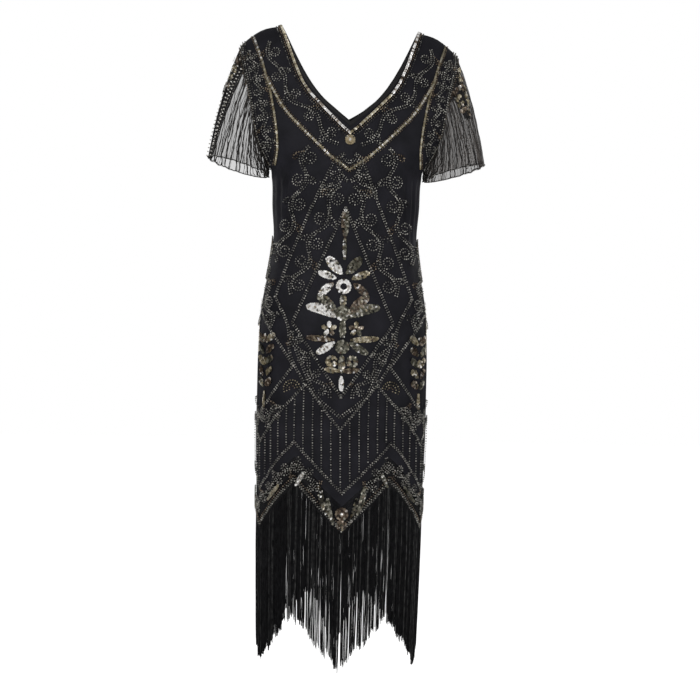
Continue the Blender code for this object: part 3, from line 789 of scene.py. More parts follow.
def sleeve_spots(across):
    """A surface of one sleeve: across is 1 at the wearer's left and -1 at the right."""

    def spots(turn, t):
        here = sleeve_form(turn, t, across)
        round_way = sleeve_form(turn + 0.002, t, across) - sleeve_form(turn - 0.002, t, across)
        down = sleeve_form(turn, t + 0.01, across) - sleeve_form(turn, t - 0.01, across)
        normal = unit(np.cross(down, round_way))
        inward = np.sum(normal * outward(turn, 0.2), axis=-1, keepdims=True) < 0
        side = np.array((across, 1, 1))
        return here * side, normal * np.where(inward, -1, 1) * side

    return spots


def thin_tubes(name, paths, radii, sides, material, turn=0.0):
    """Cords along paths given as an array of strands, rings and coordinates, with a radius a ring."""
    paths = np.asarray(paths, float)
    strands, rings, _ = paths.shape
    ways = unit(np.gradient(paths, axis=1))
    hint = np.where(np.abs(ways[..., 2:3]) > 0.9, np.array((0.0, 1.0, 0.0)), np.array((0.0, 0.0, 1.0)))
    first = unit(np.cross(ways, hint))
    second = np.cross(ways, first)
    phase = np.arange(strands)[:, None, None] * 2.4
    twist = phase + turn * np.arange(rings)[None, :, None] + all_round(sides)[None, None, :]
    size = np.asarray(radii, float)[:, :, None, None]
    round_first = np.cos(twist)[..., None] * first[:, :, None, :]
    round_second = np.sin(twist)[..., None] * second[:, :, None, :]
    points = paths[:, :, None, :] + (round_first + round_second) * size
    index = np.arange(strands * rings * sides).reshape(strands, rings, sides)
    following = np.roll(index, -1, axis=2)
    corners = (index[:, :-1], following[:, :-1], following[:, 1:], index[:, 1:])
    faces = np.stack(corners, axis=-1).reshape(-1, 4)
    return ordinary_mesh(name, points.reshape(-1, 3), faces, [material])


def turns_apart(turn, other):
    return np.abs((turn - other + 0.5) % 1 - 0.5)


def make_sleeve_net(across, name, spots):
    turns = np.arange(SLEEVE_COLUMNS) / SLEEVE_COLUMNS
    turn, t = np.meshgrid(turns, np.linspace(0, 1, SLEEVE_ROWS + 1))
    faces = grid_faces(SLEEVE_ROWS + 1, SLEEVE_COLUMNS, closed=True)
    points, _ = spots(turn, t)
    uv = np.stack((turn * 0.44, t * 0.22), axis=-1).reshape(-1, 2)
    ordered = faces if across == -1 else faces[:, ::-1]
    # Painted light: the wearer's left sleeve takes a lighter, less sheer copy of the same net, as if lit
    # from that side.
    net = LIT_PAINTED_SLEEVE_NET if across == 1 else PALE_SLEEVE_NET
    centre, half_width = SLEEVE_COLUMNS_OF_BEADS[across]
    dense = turns_apart(turn, centre) < half_width
    dense |= turns_apart(turn, SLEEVE_FLOWERS[across]) < straight(SLEEVE_DENSE[across], t)
    index = dense[:-1].reshape(-1).astype(int)
    finishes = [net, DENSE_SLEEVE_NET]
    cloth = ordinary_mesh(f"{name}_sleeve_net", points.reshape(-1, 3), ordered, finishes, index, uv=uv)
    settle(cloth, "sleeve_net", f"sleeve_{name}")


def make_gathers(across, name, spots):
    """Thick and thin crinkled threads down the sleeve, and an edging round its hem."""
    chance = random.Random(GATHER_SEEDS[across])
    threads, sizes = [], []
    rings = np.linspace(0.0, 1.0, 56)
    thick, thin = GATHER_COUNTS[across]
    kinds = zip((0, thick), (thick, thin), GATHER_SWAYS, GATHER_RADII)
    for first, count, most, radii in kinds:
        for k in range(first, first + count):
            base = k / count + chance.uniform(-0.4, 0.4) / count
            sway = most * np.sin(rings * chance.uniform(7, 15) + chance.uniform(0, 6))
            sway = sway + 0.0016 * np.sin(rings * chance.uniform(26, 44) + chance.uniform(0, 6))
            fan = GATHER_FAN * math.sin(2 * math.pi * base) * rings
            place = base + sway + chance.uniform(-0.010, 0.010) * rings + fan
            spot, normal = spots(place, np.clip(rings, 0.004, 0.985))
            threads.append(spot + normal * THREAD_LIFT)
            size = chance.uniform(*radii)
            lumps = np.array([chance.uniform(0.45, 1.35) for _ in rings])
            sizes.append(size * (lumps + np.roll(lumps, 1)) / 2)
    settle(thin_tubes(f"{name}_sleeve_gathers", threads, sizes, 3, GATHER_THREAD), "sleeve_net")
    turns = np.linspace(0, 1, HEM_EDGE_POINTS)
    spot, normal = spots(turns, 0.985 + 0.004 * np.sin(turns * 210))
    edge, radii = [spot + normal * THREAD_LIFT], [np.full(HEM_EDGE_POINTS, 0.0008)]
    settle(thin_tubes(f"{name}_sleeve_hem", edge, radii, 4, GATHER_THREAD), "sleeve_net")


def make_sleeves():
    for across, name in SLEEVES:
        spots = sleeve_spots(across)
        make_sleeve_net(across, name, spots)
        make_gathers(across, name, spots)


# ---------------------------------------------------------------------------------------------
# Fringe.

FRINGE_SEED = 51
FRINGE_LENGTH = 0.242
FRINGE_RINGS = 10
FRINGE_THINNING = 0.10
FRINGE_RADII = (0.00044, 0.00068)
FRINGE_TWIST = 0.6
# Threads in the outer and the inner layer, how far in the outer one lies, and the gap to the next.
LAYER_COUNTS = (430, 370)
OUTER_LAYER = 0.0006
LAYER_GAP = 0.0017
# The share of the outer threads given a lighter colour, painted sheen as if they caught the light.
SHEEN_PAINTED_SHARE = 0.15
# The strands beside each side seam, and how many lines of the pattern they reach from it.
SEAM_STRANDS = 12
SEAM_REACH = 0.45
# How many threads a lock holds, and how far they draw together.
LOCK_SIZES = (4, 6, 8, 10, 12, 16)
LOCK_CLINGS = (0.02, 0.03, 0.05, 0.06, 0.08, 0.16)
# How each thread wobbles: range of its waves, of their phase and of their depth.
WOBBLE = ((2.5, 6), (0, 6.3), (0, 0.0007))
# How much higher the back's threads end, by degrees from the centre.
BACK_FRINGE_RISE = (
    (0, 0.0), (5, 0.004), (9, 0.030), (12, 0.038), (17, 0.053), (22, 0.042), (28, 0.012), (34, -0.010),
    (44, -0.012), (60, 0.0), (90, 0.0),
)
# The strip that holds the fringe: distance down from the hem, and out from the cloth.
STRIP = ((0.0, 0.0), (0.0012, 0.0011), (0.0042, 0.0012), (0.0055, 0.0002))


def line_angles(lines):
    return np.radians(straight(LINE_ANGLES, np.abs(lines))) * np.sign(lines)


def fringe_threads(chance):
    """The pattern's lines that the threads hang from, in order, and how far in they lie."""
    lines, depths = [], []
    for layer, count in enumerate(LAYER_COUNTS):
        for k in range(count):
            share = (k + 0.5 + chance.uniform(-0.3, 0.3)) / count
            lines.append((share * 2 - 1) * (SIDE_LINE - 0.1))
            depths.append(OUTER_LAYER + LAYER_GAP * layer)
    for k in range(SEAM_STRANDS):
        for way in (-1, 1):
            lines.append(way * (SIDE_LINE - SEAM_REACH * (k / SEAM_STRANDS) ** 1.33))
            depths.append(OUTER_LAYER + LAYER_GAP * (k % 2))
    order = np.argsort(lines)
    return np.array(lines)[order], np.array(depths)[order]


def fringe_locks(lines, chance):
    """Threads cling together in locks, which leaves slits between them: ends, drops and swing."""
    total = len(lines)
    ends, drops, swing = lines.copy(), np.zeros(total), np.zeros(total)
    first = 0
    while first < total:
        last = min(first + chance.choice(LOCK_SIZES), total)
        drops[first:last] = chance.uniform(-0.007, 0.007)
        # The locks at the side seams hang straight, so that front and back meet there.
        if first > 0 and last < total:
            middle = lines[first:last].mean()
            ends[first:last] += (middle - lines[first:last]) * chance.choice(LOCK_CLINGS)
            swing[first:last] = chance.uniform(-0.0016, 0.0016)
        first = last
    return ends, drops + np.array([chance.uniform(-0.007, 0.005) for _ in range(total)]), swing


def make_strip(side, name):
    lines = lines_across(0.25)
    theta = at_side(side, line_angles(lines))
    hem = straight(HEM, np.abs(lines))
    rows = []
    for down, lift in STRIP:
        spot, normal = body_spots(theta, hem + 0.0005 - down)
        rows.append(spot + normal * (lift - 0.0004))
    faces = grid_faces(len(rows), len(lines))
    points = np.array(rows).reshape(-1, 3)
    settle(ordinary_mesh(f"{name}_fringe_head", points, faces, [FRINGE_THREAD]), "fringe_thread")


def make_fringe():
    for side, name in SIDE_NAMES.items():
        chance = random.Random(FRINGE_SEED + side)
        lines, depths = fringe_threads(chance)
        ends, drops, swing = fringe_locks(lines, chance)
        total = len(lines)
        reach = np.linspace(0, 1, FRINGE_RINGS)
        angle, end_angle = line_angles(lines), line_angles(ends)
        hem = straight(HEM, np.abs(lines))
        bottom = hem - FRINGE_LENGTH + drops
        if side == BACK:
            bottom += straight(BACK_FRINGE_RISE, np.degrees(np.abs(angle)))
        top = hem + 0.0015
        theta = at_side(side, angle[:, None] + (end_angle - angle)[:, None] * reach[None, :])
        z = top[:, None] + (bottom - top)[:, None] * reach[None, :]
        wobble = np.array([[chance.uniform(*limit) for limit in WOBBLE] for _ in range(total)])
        waves = np.sin(wobble[:, 0:1] * 2 * reach[None, :] + wobble[:, 1:2])
        shift = wobble[:, 2:3] * waves * reach[None, :]
        points, normals = body_spots(theta, z)
        points = points - normals * depths[:, None, None]
        sideways = unit(np.stack((-normals[..., 1], normals[..., 0], np.zeros_like(z)), axis=-1))
        points = points + sideways * (shift + swing[:, None] * reach[None, :] ** 1.5)[..., None]
        radii = np.array([chance.uniform(*FRINGE_RADII) for _ in range(total)])
        radii = radii[:, None] * (1 - FRINGE_THINNING * reach**2)
        # Painted sheen: these outer threads take a lighter thread colour in place of real light falling on
        # them.
        sheen_painted = (depths < 0.001) & (np.array([chance.random() for _ in range(total)]) < SHEEN_PAINTED_SHARE)
        threads = f"{name}_fringe_threads", points[~sheen_painted], radii[~sheen_painted], 4, FRINGE_THREAD, FRINGE_TWIST
        settle(thin_tubes(*threads), "fringe_thread", f"{name}_fringe")
        threads = f"{name}_fringe_sheen_painted_threads", points[sheen_painted], radii[sheen_painted] * 0.8, 4, SHEEN_PAINTED_THREAD, FRINGE_TWIST
        settle(thin_tubes(*threads), "fringe_thread")
        make_strip(side, name)


# ---------------------------------------------------------------------------------------------
# Beadwork. Tables are in millimetres for one quarter of the dress, as seen from the front unless
# said otherwise.

BEAD = 0.0024
BEAD_PITCH = 0.0047
PAIR_GAP = 3.0
VINE_GAP = 4.4
SMALL_CURL_TINTS = (BRONZE, GLASS, DARK)
TRUNK = ((178, -27), (160, -80), (142, -146), (129, -225), (132, -263))
YOKE = ((155, -104), (120, -165), (84, -206), (36, -253), (0, -278))
LOZENGE = ((0, -344), (90, -552), (0, -684))
FRAME_UPPER = ((28, -267), (90, -414), (123, -505))
FRAME_LOWER = ((123, -505), (98, -558), (92, -610), (64, -664))
MIDDLE_POINT = ((0, -717), (40, -684), (60, -645), (80, -600))
# Winding scrolls that fill the spaces between these rows. Columns: the line that they wind about, waves,
# swing, radius of their curls, measured round the body or not, turned with the skirt or not.
SCROLLS = (
    (((148, -42), (120, -122), (22, -232)), 2.5, 9, 10.0, False, False),
    (((184, -58), (164, -130), (145, -240)), 4, 5, 6.5, False, False),
    (((12, -306), (53, -400), (94, -500)), 2.5, 10, 12.5, False, True),
    (((72, -238), (88, -330), (122, -440)), 2.5, 10, 12.5, False, True),
    (((90, -568), (64, -622), (20, -684)), 2, 7, 8.0, False, True),
    (((196, -392), (164, -476), (140, -560)), 3, 12, 12.0, True, True),
    (((112, -704), (150, -724), (192, -724)), 1.5, 7, 10.0, True, True),
    (((44, -852), (88, -808), (180, -886), (222, -856)), 5, 6, 7.6, True, False),
    (((10, -250), (24, -296), (48, -326)), 1.5, 8, 9.0, False, False),
)
SMALL_CURL = 0.45
SHELL = (88, -670)
SHELL_ANGLES = (-25, 165)
SHELL_RADII = {5.0: BRONZE, 10.0: GOLD, 15.0: GOLD}
SIDE_LOZENGE = ((172, -532), (120, -587), (88, -629), (122, -669), (172, -722))
SIDE_HOOKS = (((172, -532), (206, -556)), ((172, -722), (206, -690)))
STRING_STEP = 16.7
STRINGS = 13
HEM_ANGLES = tuple((dict(LINE_ANGLES)[line], z) for line, z in HEM)
LOWER_ZIGZAG = ((0, -0.744), (23.5, -0.664), (66, -0.770), (90, -0.722))
HEM_BAND_RISE = 0.069
BACK_RISE = 35
NECK_ROW = (
    (0, -212), (14, -200), (26, -188), (43, -171), (58, -155), (73, -139), (86, -119), (95, -99),
    (103, -79), (110, -58), (117, -38), (124, -17), (128, -5),
)


def for_back(x, z):
    """The back's neckline is higher, so the bodice's pattern moves up with it near the centre."""
    near = np.clip(1 - np.abs(x) / 130, 0, 1) * np.clip((z + 345) / 120, 0, 1)
    return z + BACK_RISE * near


def seen(points, side, curved=False, smooth=True):
    """A path in millimetres as angles and heights."""
    path = np.asarray(points, float)
    if smooth and len(path) > 2:
        path = rounded(path)
    path = filled_in(path)
    if curved:
        return from_round(path * MM)
    if side == BACK:
        path = np.stack((path[:, 0], for_back(path[:, 0], path[:, 1])), axis=1)
    return from_front(path * MM)


def each_half(side, path, twisted=True):
    return [on_side(side, way, path, twisted) for way in (1, -1)]


def row(pile, side, points, tint=GLASS, curved=False, smooth=True, twisted=True):
    for half in each_half(side, seen(points, side, curved, smooth), twisted):
        string(pile, body_spots, half, BEAD_PITCH, BEAD, tint)


def beside_row(pile, side, line, distance, tint):
    row(pile, side, beside(line, distance), tint, smooth=False, twisted=False)


def pair(pile, side, points, curved=False, smooth=True, twisted=True, gap=PAIR_GAP):
    """Two rows side by side, whose beads read as short bars."""
    path = rounded(points) if smooth and len(points) > 2 else np.asarray(points, float)
    for distance in (-gap / 2, gap / 2):
        row(pile, side, beside(path, distance), GLASS, curved, False, twisted)


def zigzag(pile, side, table, rise, tint=GLASS, twisted=True):
    angles = np.linspace(0, 90, 260)
    path = np.stack((np.radians(angles), straight(table, angles) + rise), axis=1)
    for half in each_half(side, path, twisted):
        string(pile, body_spots, half, BEAD_PITCH, BEAD, tint)


def curl_to(centre, radius, end, spin, turns):
    """A curl from its eye out, then straight on to a point."""
    gap = np.subtract(end, centre)
    distance = np.linalg.norm(gap)
    swing = math.acos(min(radius / distance, 1.0))
    leave = math.atan2(gap[1], gap[0]) - spin * swing
    return np.vstack((spiral(centre, radius, math.degrees(leave), spin, turns), (end,)))


def scroll(pile, side, axis, waves, swing, radius, curved, twisted):
    """A winding pair of rows, with a curl inside each of its bends and a small one outside."""
    line = filled_in(rounded(axis))
    ways = unit(np.gradient(line, axis=0))
    across = np.stack((-ways[:, 1], ways[:, 0]), axis=1)
    run = np.linspace(0, 1, len(line))
    path = line + across * (swing * np.sin(2 * math.pi * waves * run))[:, None]
    pair(pile, side, path, curved, False, twisted, VINE_GAP)
    bends = int(2 * waves)
    for k in range(bends):
        way = 1 if k % 2 == 0 else -1
        crest = int((k + 0.5) / bends * (len(line) - 1))
        start = int((k + 0.05) / bends * (len(line) - 1))
        out = across[crest] * way
        small = SMALL_CURL * radius
        inside = line[crest] + out * (swing - radius - VINE_GAP)
        outside = path[crest] + out * (VINE_GAP + small)
        for centre, size, end, spin, tint in (
            (inside, radius, path[start], way, GLASS),
            (outside, small, path[(start + crest) // 2], way, SMALL_CURL_TINTS[k % 3]),
        ):
            turns = 1.8 if size > 7.4 else 1.5 if size > 5.9 else 1.15
            if np.linalg.norm(end - centre) > size:
                row(pile, side, curl_to(centre, size, end, spin, turns), tint, curved, False, twisted)


def edge_of(side, lines):
    """The stretch of a side's top edge that has these lines, in millimetres."""
    x, z = (1, 2) if side == FRONT else (3, 4)
    return rounded([(place[x], place[z]) for place in TOP_EDGE if place[0] in lines]) / MM


def bodice_beads(pile, side):
    for line, distance in ((YOKE, -3.6), (YOKE, 3.6), (TRUNK, 3.6)):
        beside_row(pile, side, rounded(line), distance, BRONZE)
    for line in SCROLLS:
        scroll(pile, side, *line)
    armhole_edge, neck = edge_of(side, range(SHOULDER_LINE, SIDE_LINE + 1)), rounded(NECK_ROW)
    for line, distance, tint in (
        (armhole_edge, -2.6, GLASS),
        (armhole_edge, -6.8, DARK),
        (neck, -5.0, BRONZE),
        (neck, -9.0, DARK),
    ):
        beside_row(pile, side, line, distance, tint)


def skirt_beads(pile, side):
    pair(pile, side, LOZENGE, smooth=False)
    pair(pile, side, FRAME_UPPER)
    pair(pile, side, FRAME_LOWER)
    row(pile, side, MIDDLE_POINT)
    row(pile, side, beside(rounded(MIDDLE_POINT), -4.0), smooth=False)
    for corners in (SIDE_LOZENGE[:3], SIDE_LOZENGE[2:]):
        pair(pile, side, corners, curved=True, smooth=False)
    for hook in SIDE_HOOKS:
        row(pile, side, hook, curved=True)
    for radius, tint in SHELL_RADII.items():
        arc = np.asarray(SHELL) + heading(np.radians(np.linspace(*SHELL_ANGLES, 40))) * radius
        row(pile, side, arc, tint, smooth=False)
    for distance in (0.0, PAIR_GAP * MM * 1.3):
        zigzag(pile, side, LOWER_ZIGZAG, distance)
        zigzag(pile, side, HEM_ANGLES, HEM_BAND_RISE + distance, twisted=False)
        zigzag(pile, side, HEM_ANGLES, 0.0024 + distance, twisted=False)
    zigzag(pile, side, HEM_ANGLES, 0.0115, BRONZE, twisted=False)
    # The straight strings hang between the lower zigzag and the hem band.
    for k in range(STRINGS):
        distance = k * STRING_STEP
        high, low = (np.degrees(from_round([(distance * MM, z)])[0, 0]) for z in (-0.75, -0.83))
        top = float(straight(LOWER_ZIGZAG, high)) / MM - 6
        bottom = (float(straight(HEM_ANGLES, low)) + HEM_BAND_RISE) / MM + 8
        path = from_round(filled_in(((distance, top), (distance, bottom))) * MM)
        for half in each_half(side, path) if k else [on_side(side, 1, path)]:
            string(pile, body_spots, half, BEAD_PITCH, BEAD)


# ---------------------------------------------------------------------------------------------
# Sequins.

SEQUIN = 0.0052
SEQUIN_PITCH = 0.0024
SIDE_ROW_SEQUIN = 0.0042
ROPE_SEQUIN = 0.0043
NECK_SEQUIN = 0.0050
# The share of a row that has its first tint.
MAIN_SHARE = 0.78
SEQUIN_SEED = 71
SLEEVE_SEQUIN_SEED = 91
MEDALLION_SEED = 5
# A petal's rows of sequins in millimetres: first row, both ends' margin, between rows, along a row.
PETAL_START = 2.2
PETAL_MARGIN = 4.8
PETAL_ROW = 3.0
PETAL_STEP = 3.5
# A round flower's: from its edge, along a ring, between rings.
ROUND_EDGE = 2.4
ROUND_STEP = 3.9
ROUND_GAP = 3.5
# Some sequins take one of these tints instead of their petal's.
STRAY_SHARE = 0.24
STRAY_TINTS = (GLASS, GOLD, DARK, DARK, BRONZE, PALE)


def mirrored(pairs):
    """Petals on both sides of a stem: the one to the left takes the left tint, the one to the right the
    right tint. Where the left tint is paler, that is painted highlight, as if the light fell from the
    left.
    """
    petals = []
    for base_x, base_z, tip_x, tip_z, width, left, right, bend in pairs:
        petals.append((-base_x, base_z, -tip_x, tip_z, width, left, left, -bend))
        petals.append((base_x, base_z, tip_x, tip_z, width, right, right, bend))
    return tuple(petals)


def star(x, z, count, inner, outer, width, tints):
    """A small open flower."""
    petals = []
    for k in range(count):
        ahead, up = math.sin(2 * math.pi * k / count), math.cos(2 * math.pi * k / count)
        base, tip = ((x + radius * ahead, z + radius * up) for radius in (inner, outer))
        tint = tints[k % len(tints)]
        petals.append((*base, *tip, width, tint, tint, 0))
    return tuple(petals)


def leaf_pairs(top, step, count, reach, rise, width, tints):
    """Leaves two by two along a stem."""
    rows = []
    for k in range(count):
        tint, other = tints[k % len(tints)], tints[(k + 1) % len(tints)]
        base = top + step * k
        rows.append((3, base, reach * (1 - 0.08 * k), base + rise, width, tint, other, 1.5))
    return mirrored(rows)


# The front spray, measured from its middle: leaves in pairs, then those on its stem. Columns: base x,
# base z, tip x, tip z, width, tint to the left, tint to the right, bend.
SPRAY_MIDDLE = (0, -546)
# Painted highlight: the pale tints of the petals to the left and of the left star stand for light falling
# from the left.
SPRAY_PETALS = (
    mirrored((
        (4, 82, 30, 112, 18, PALE, GLASS, 0),
        (14, 74, 45, 86, 13, PALE, GOLD, 0),
        (18, 66, 42, 42, 14, PALE, BRONZE, 2),
        (12, 17, 45, 44, 17, GLASS, BRONZE, 0),
        (10, 5, 65, 24, 18, PALE, GLASS, 4),
        (4, 6, 28, 20, 13, GLASS, BRONZE, 2),
        (14, -36, 64, -32, 11, BRONZE, GOLD, 0),
        (13, -40, 45, -60, 13, PALE, GLASS, 0),
        (3, -92, 30, -88, 10, GOLD, BRONZE, 0),
    ))
    + star(-24, -16, 5, 2, 13, 8, (PALE, GOLD, BRONZE))
    + star(24, -16, 5, 2, 13, 8, (GOLD, BRONZE, GLASS))
    + (
        (0, 148, 0, 198, 14, BRONZE, GLASS, 0),
        (0, 108, 0, 146, 7, PALE, GLASS, 0),
        (0, 18, 0, 46, 12, GLASS, GOLD, 0),
        (0, 2, 0, -32, 12, GLASS, GLASS, 0),
        (0, -62, 0, -94, 12, GOLD, GLASS, 0),
        (0, -100, 0, -126, 9, PALE, PALE, 0),
    )
)
# Round flowers of the spray. Columns: x, z, outer radius, inner radius, tint.
SPRAY_ROUNDS = (
    (0, 60, 14, 6, PALE),
    (0, 12, 14, 0, GLASS),
    (0, -48, 13, 0, GLASS),
    (18, -74, 11, 4, GLASS),
    (-18, -74, 11, 4, GOLD),
)
# The flower at each side, measured by the distance round the body.
SIDE_MIDDLE = (155, -626)
SIDE_PETALS = (
    *leaf_pairs(38, -20, 5, 27, 14, 13, (GOLD, BRONZE, GLASS)),
    (0, -50, 0, -80, 8, TAN, GOLD, 0),
)
SIDE_ROUNDS = ((0, 46, 8, 0, BRONZE), (0, 4, 8, 0, GOLD))
SIDE_ROW = ((187, -508), (188, -560), (186, -604))
# The flower on each sleeve, measured round the sleeve and down from its seam.
SLEEVE_ROUND = 400.0
SLEEVE_FALL = 212.0
SLEEVE_PETALS = (
    *leaf_pairs(24, 17, 4, 23, -13, 11, (TAN, BRONZE, GOLD)),
    (0, 70, 0, 90, 10, TAN, BRONZE, 0),
)
SLEEVE_ROUNDS = ((0, 28, 5, 0, PALE), (-8, 50, 3, 0, PALE), (8, 60, 3, 0, PALE), (0, 92, 3, 0, PALE))
# The beaded column. Columns: distance round the sleeve, start down it, bead size, pitch, tint.
SLEEVE_STRINGS = (
    (-9, 30, 3.0, 7.4, PALE),
    (-4, 26, 2.4, 5.0, DARK),
    (2, 22, 3.2, 7.8, PALE),
    (8, 18, 2.4, 5.0, DARK),
    (14, 12, 3.0, 6.6, PALE),
    (19, 8, 2.4, 4.6, DARK),
)
# Leaves and rounds on the hem band, measured by the distance round the body.
# Painted glints: the pale and tan left petals of the last two pairs.
HEM_PETALS = mirrored((
    (14, -912, 26, -864, 9, GLASS, DARK, -2),
    (27, -894, 40, -844, 10, DARK, GLASS, -2),
    (84, -845, 70, -820, 8, PALE, GLASS, 0),
    (146, -875, 118, -845, 8, TAN, GLASS, 0),
))
HEM_ROUNDS = ((0, -892, 12, 0, BRONZE), (0, -912, 10, 0, BRONZE))
# Ropes of sequins. Columns: line, tints of its left half, tints of its right half.
ROPES = (
    (YOKE[:4], ((TAN, PALE), (TAN, PALE))),
    (YOKE[3:], ((GOLD, GLASS), (GOLD, GLASS))),
    (TRUNK[1:], ((TAN, GOLD), (TAN, GOLD))),
    # Painted highlight: the top of the trunk's right half is mostly pale.
    (TRUNK[:2], ((TAN, TAN), (PALE, TAN))),
)
# Rows of beads round each sleeve: share of the way down it, tint.
SLEEVE_EDGES = ((0.012, GLASS), (0.035, BRONZE), (0.985, DARK))
# The neck binding's section: distance in from the edge in millimetres, height over the cloth.
NECK_TRIM = ((0.2, 0.0002), (0.9, 0.0013), (4.0, 0.0019), (7.1, 0.0013), (8.0, 0.0002))
MEDALLION_MIDDLE = (0.0, -224.0)
# Columns: radius in millimetres, sequins, their size, tint.
MEDALLION_RINGS = ((7.2, 14, 0.0048, GOLD), (4.4, 9, 0.0044, TAN), (1.8, 5, 0.0040, PALE))
# Columns: radius in millimetres, height over the cloth.
MEDALLION_DOME = ((8.6, 0.0004), (8.0, 0.0016), (5.6, 0.0024), (2.8, 0.0030), (0.2, 0.0034))


def petal_reach(t):
    """Half width of a petal from its base to its rounded tip, as a share of the widest."""
    if t < 0.5:
        return math.sin(math.pi * t) ** 0.7
    return math.sqrt(max(1 - (2 * t - 1) ** 2.6, 0.0))


def petal_places(base, tip, width, bend):
    """Flat places, directions and sides (-1 right to 1 left) of the sequins that fill a petal."""
    base, tip = np.asarray(base, float), np.asarray(tip, float)
    run = tip - base
    length = np.linalg.norm(run)
    along = run / length
    off = np.array((-along[1], along[0]))
    places, ways, sides = [], [], []
    rows = max(int((length - PETAL_MARGIN) / PETAL_ROW), 1)
    for k in range(rows + 1):
        t = (PETAL_START + (length - PETAL_MARGIN) * k / rows) / length
        half = (width / 2 - 0.8) * petal_reach(t)
        across = int(round(2 * half / PETAL_STEP))
        middle = base + run * t + off * bend * math.sin(math.pi * t)
        for n in range(across + 1):
            side = 0.0 if across == 0 else (n / across - 0.5) * 2
            places.append(middle + off * side * max(half - 1.4, 0) + along * 1.2 * (n % 2))
            ways.append(along)
            sides.append(side)
    return np.array(places), np.array(ways), np.array(sides)


def round_places(centre, outer, inner):
    """Flat places and directions of a round flower's sequins, ring by ring."""
    places, ways = [], []
    radius = outer - ROUND_EDGE
    while radius > max(inner - 0.5, 1.0):
        count = max(int(2 * math.pi * radius / ROUND_STEP), 4)
        for k in range(count):
            angle = 2 * math.pi * (k + 0.5 * (int(radius) % 2)) / count
            way = np.array((math.cos(angle), math.sin(angle)))
            places.append(np.asarray(centre) + way * radius)
            ways.append(way)
        radius -= ROUND_GAP
    if inner == 0:
        places.append(np.asarray(centre, float))
        ways.append(np.array((0.0, 1.0)))
    return np.array(places), np.array(ways), np.zeros(len(places))


def lay_sequins(pile, surface, to_surface, shape, tints, chance):
    """Sequins at a shape's flat places, overlapped along their directions."""
    places, ways, sides = shape
    here, ahead = to_surface(places), to_surface(places + ways)
    points, normals = surface(here[:, 0], here[:, 1])
    further, _ = surface(ahead[:, 0], ahead[:, 1])
    directions = unit(further - points)
    across = unit(np.cross(normals, directions))
    # Each petal stands a little its own way, and is raised along its middle.
    lean, roll = chance.gauss(-0.15, 0.12), chance.gauss(0, 0.12)
    facing = tilted(normals, directions, lean, chance, 0.19)
    facing = unit(facing + across * (roll + 0.22 * sides)[:, None])
    count = len(points)
    left, right = tints
    chosen = np.where(sides > 0.05, left, right)
    for k in range(count):
        if chance.random() < STRAY_SHARE:
            chosen[k] = chance.choice(STRAY_TINTS)
    sizes = SEQUIN * np.array([chance.uniform(0.92, 1.08) for _ in range(count)])
    lifts = np.array([chance.uniform(0.0010, 0.0016) for _ in range(count)]) + 0.0008 * (1 - np.abs(sides))
    pile.add(points + normals * lifts[:, None], directions, facing, sizes, chosen)


def flower(pile, surface, to_surface, petals, rounds, chance):
    for base_x, base_z, tip_x, tip_z, width, left, right, bend in petals:
        shape = petal_places((base_x, base_z), (tip_x, tip_z), width, bend)
        lay_sequins(pile, surface, to_surface, shape, (left, right), chance)
    for x, z, outer, inner, tint in rounds:
        lay_sequins(pile, surface, to_surface, round_places((x, z), outer, inner), (tint, tint), chance)


def flat_on_body(side, mirror, middle, curved, twisted=True):
    """Carries flat places round a middle to angles and heights. mirror turns the drawing over."""

    def to_surface(flat):
        path = (flat * (mirror, 1) + middle) * MM
        return on_side(side, 1, from_round(path) if curved else from_front(path), twisted)

    return to_surface


def row_of_sequins(pile, path, size, tints, chance, lean=0.3, lift=0.0013):
    """Overlapping sequins set on edge along a line, most of them of the first tint."""
    points, ways, normals = steps_along(body_spots, path, SEQUIN_PITCH)
    facing = tilted(normals, unit(ways), -lean, chance, 0.1)
    chosen = np.array([tints[0] if chance.random() < MAIN_SHARE else tints[1] for _ in points])
    pile.add(points + normals * lift, ways, facing, size, chosen)


def make_sequins():
    for side, name in SIDE_NAMES.items():
        chance = random.Random(SEQUIN_SEED + side)
        pile = Pile()
        turned = 1 if side == FRONT else -1
        spray = flat_on_body(side, turned, SPRAY_MIDDLE, False)
        flower(pile, body_spots, spray, SPRAY_PETALS, SPRAY_ROUNDS, chance)
        for mirror in (1, -1):
            middle = (SIDE_MIDDLE[0] * mirror, SIDE_MIDDLE[1])
            at_seam = flat_on_body(side, mirror, middle, True)
            flower(pile, body_spots, at_seam, SIDE_PETALS, SIDE_ROUNDS, chance)
        for half in each_half(side, seen(SIDE_ROW, side, curved=True)):
            row_of_sequins(pile, half, SIDE_ROW_SEQUIN, (GOLD, GOLD), chance, 0.5)
        for line, tints in ROPES:
            for half, own in zip(each_half(side, seen(line, side), False), tints):
                row_of_sequins(pile, half, ROPE_SEQUIN, own, chance)
        # Painted highlight: the neck row is pale on the wearer's left shoulder and right of the point,
        # where it is shown catching the light.
        for stretch, tints in ((NECK_ROW[:6], (PALE, TAN)), (NECK_ROW[5:], (TAN, PALE))):
            for half, tint in zip(each_half(side, seen(stretch, side), False), tints[::-1]):
                row_of_sequins(pile, half, NECK_SEQUIN, (tint, BRONZE), chance, 0.4, 0.0020)
        hem = flat_on_body(side, turned, (0, 0), True, False)
        flower(pile, body_spots, hem, HEM_PETALS, HEM_ROUNDS, chance)
        build_pile(f"{name}_sequins", pile, False)


def round_the_sleeve(middle):
    """Carries flat places, in millimetres from a turn's line and the seam, to turns and shares."""

    def to_surface(flat):
        return np.stack((middle + flat[:, 0] / SLEEVE_ROUND, flat[:, 1] / SLEEVE_FALL), axis=1)

    return to_surface


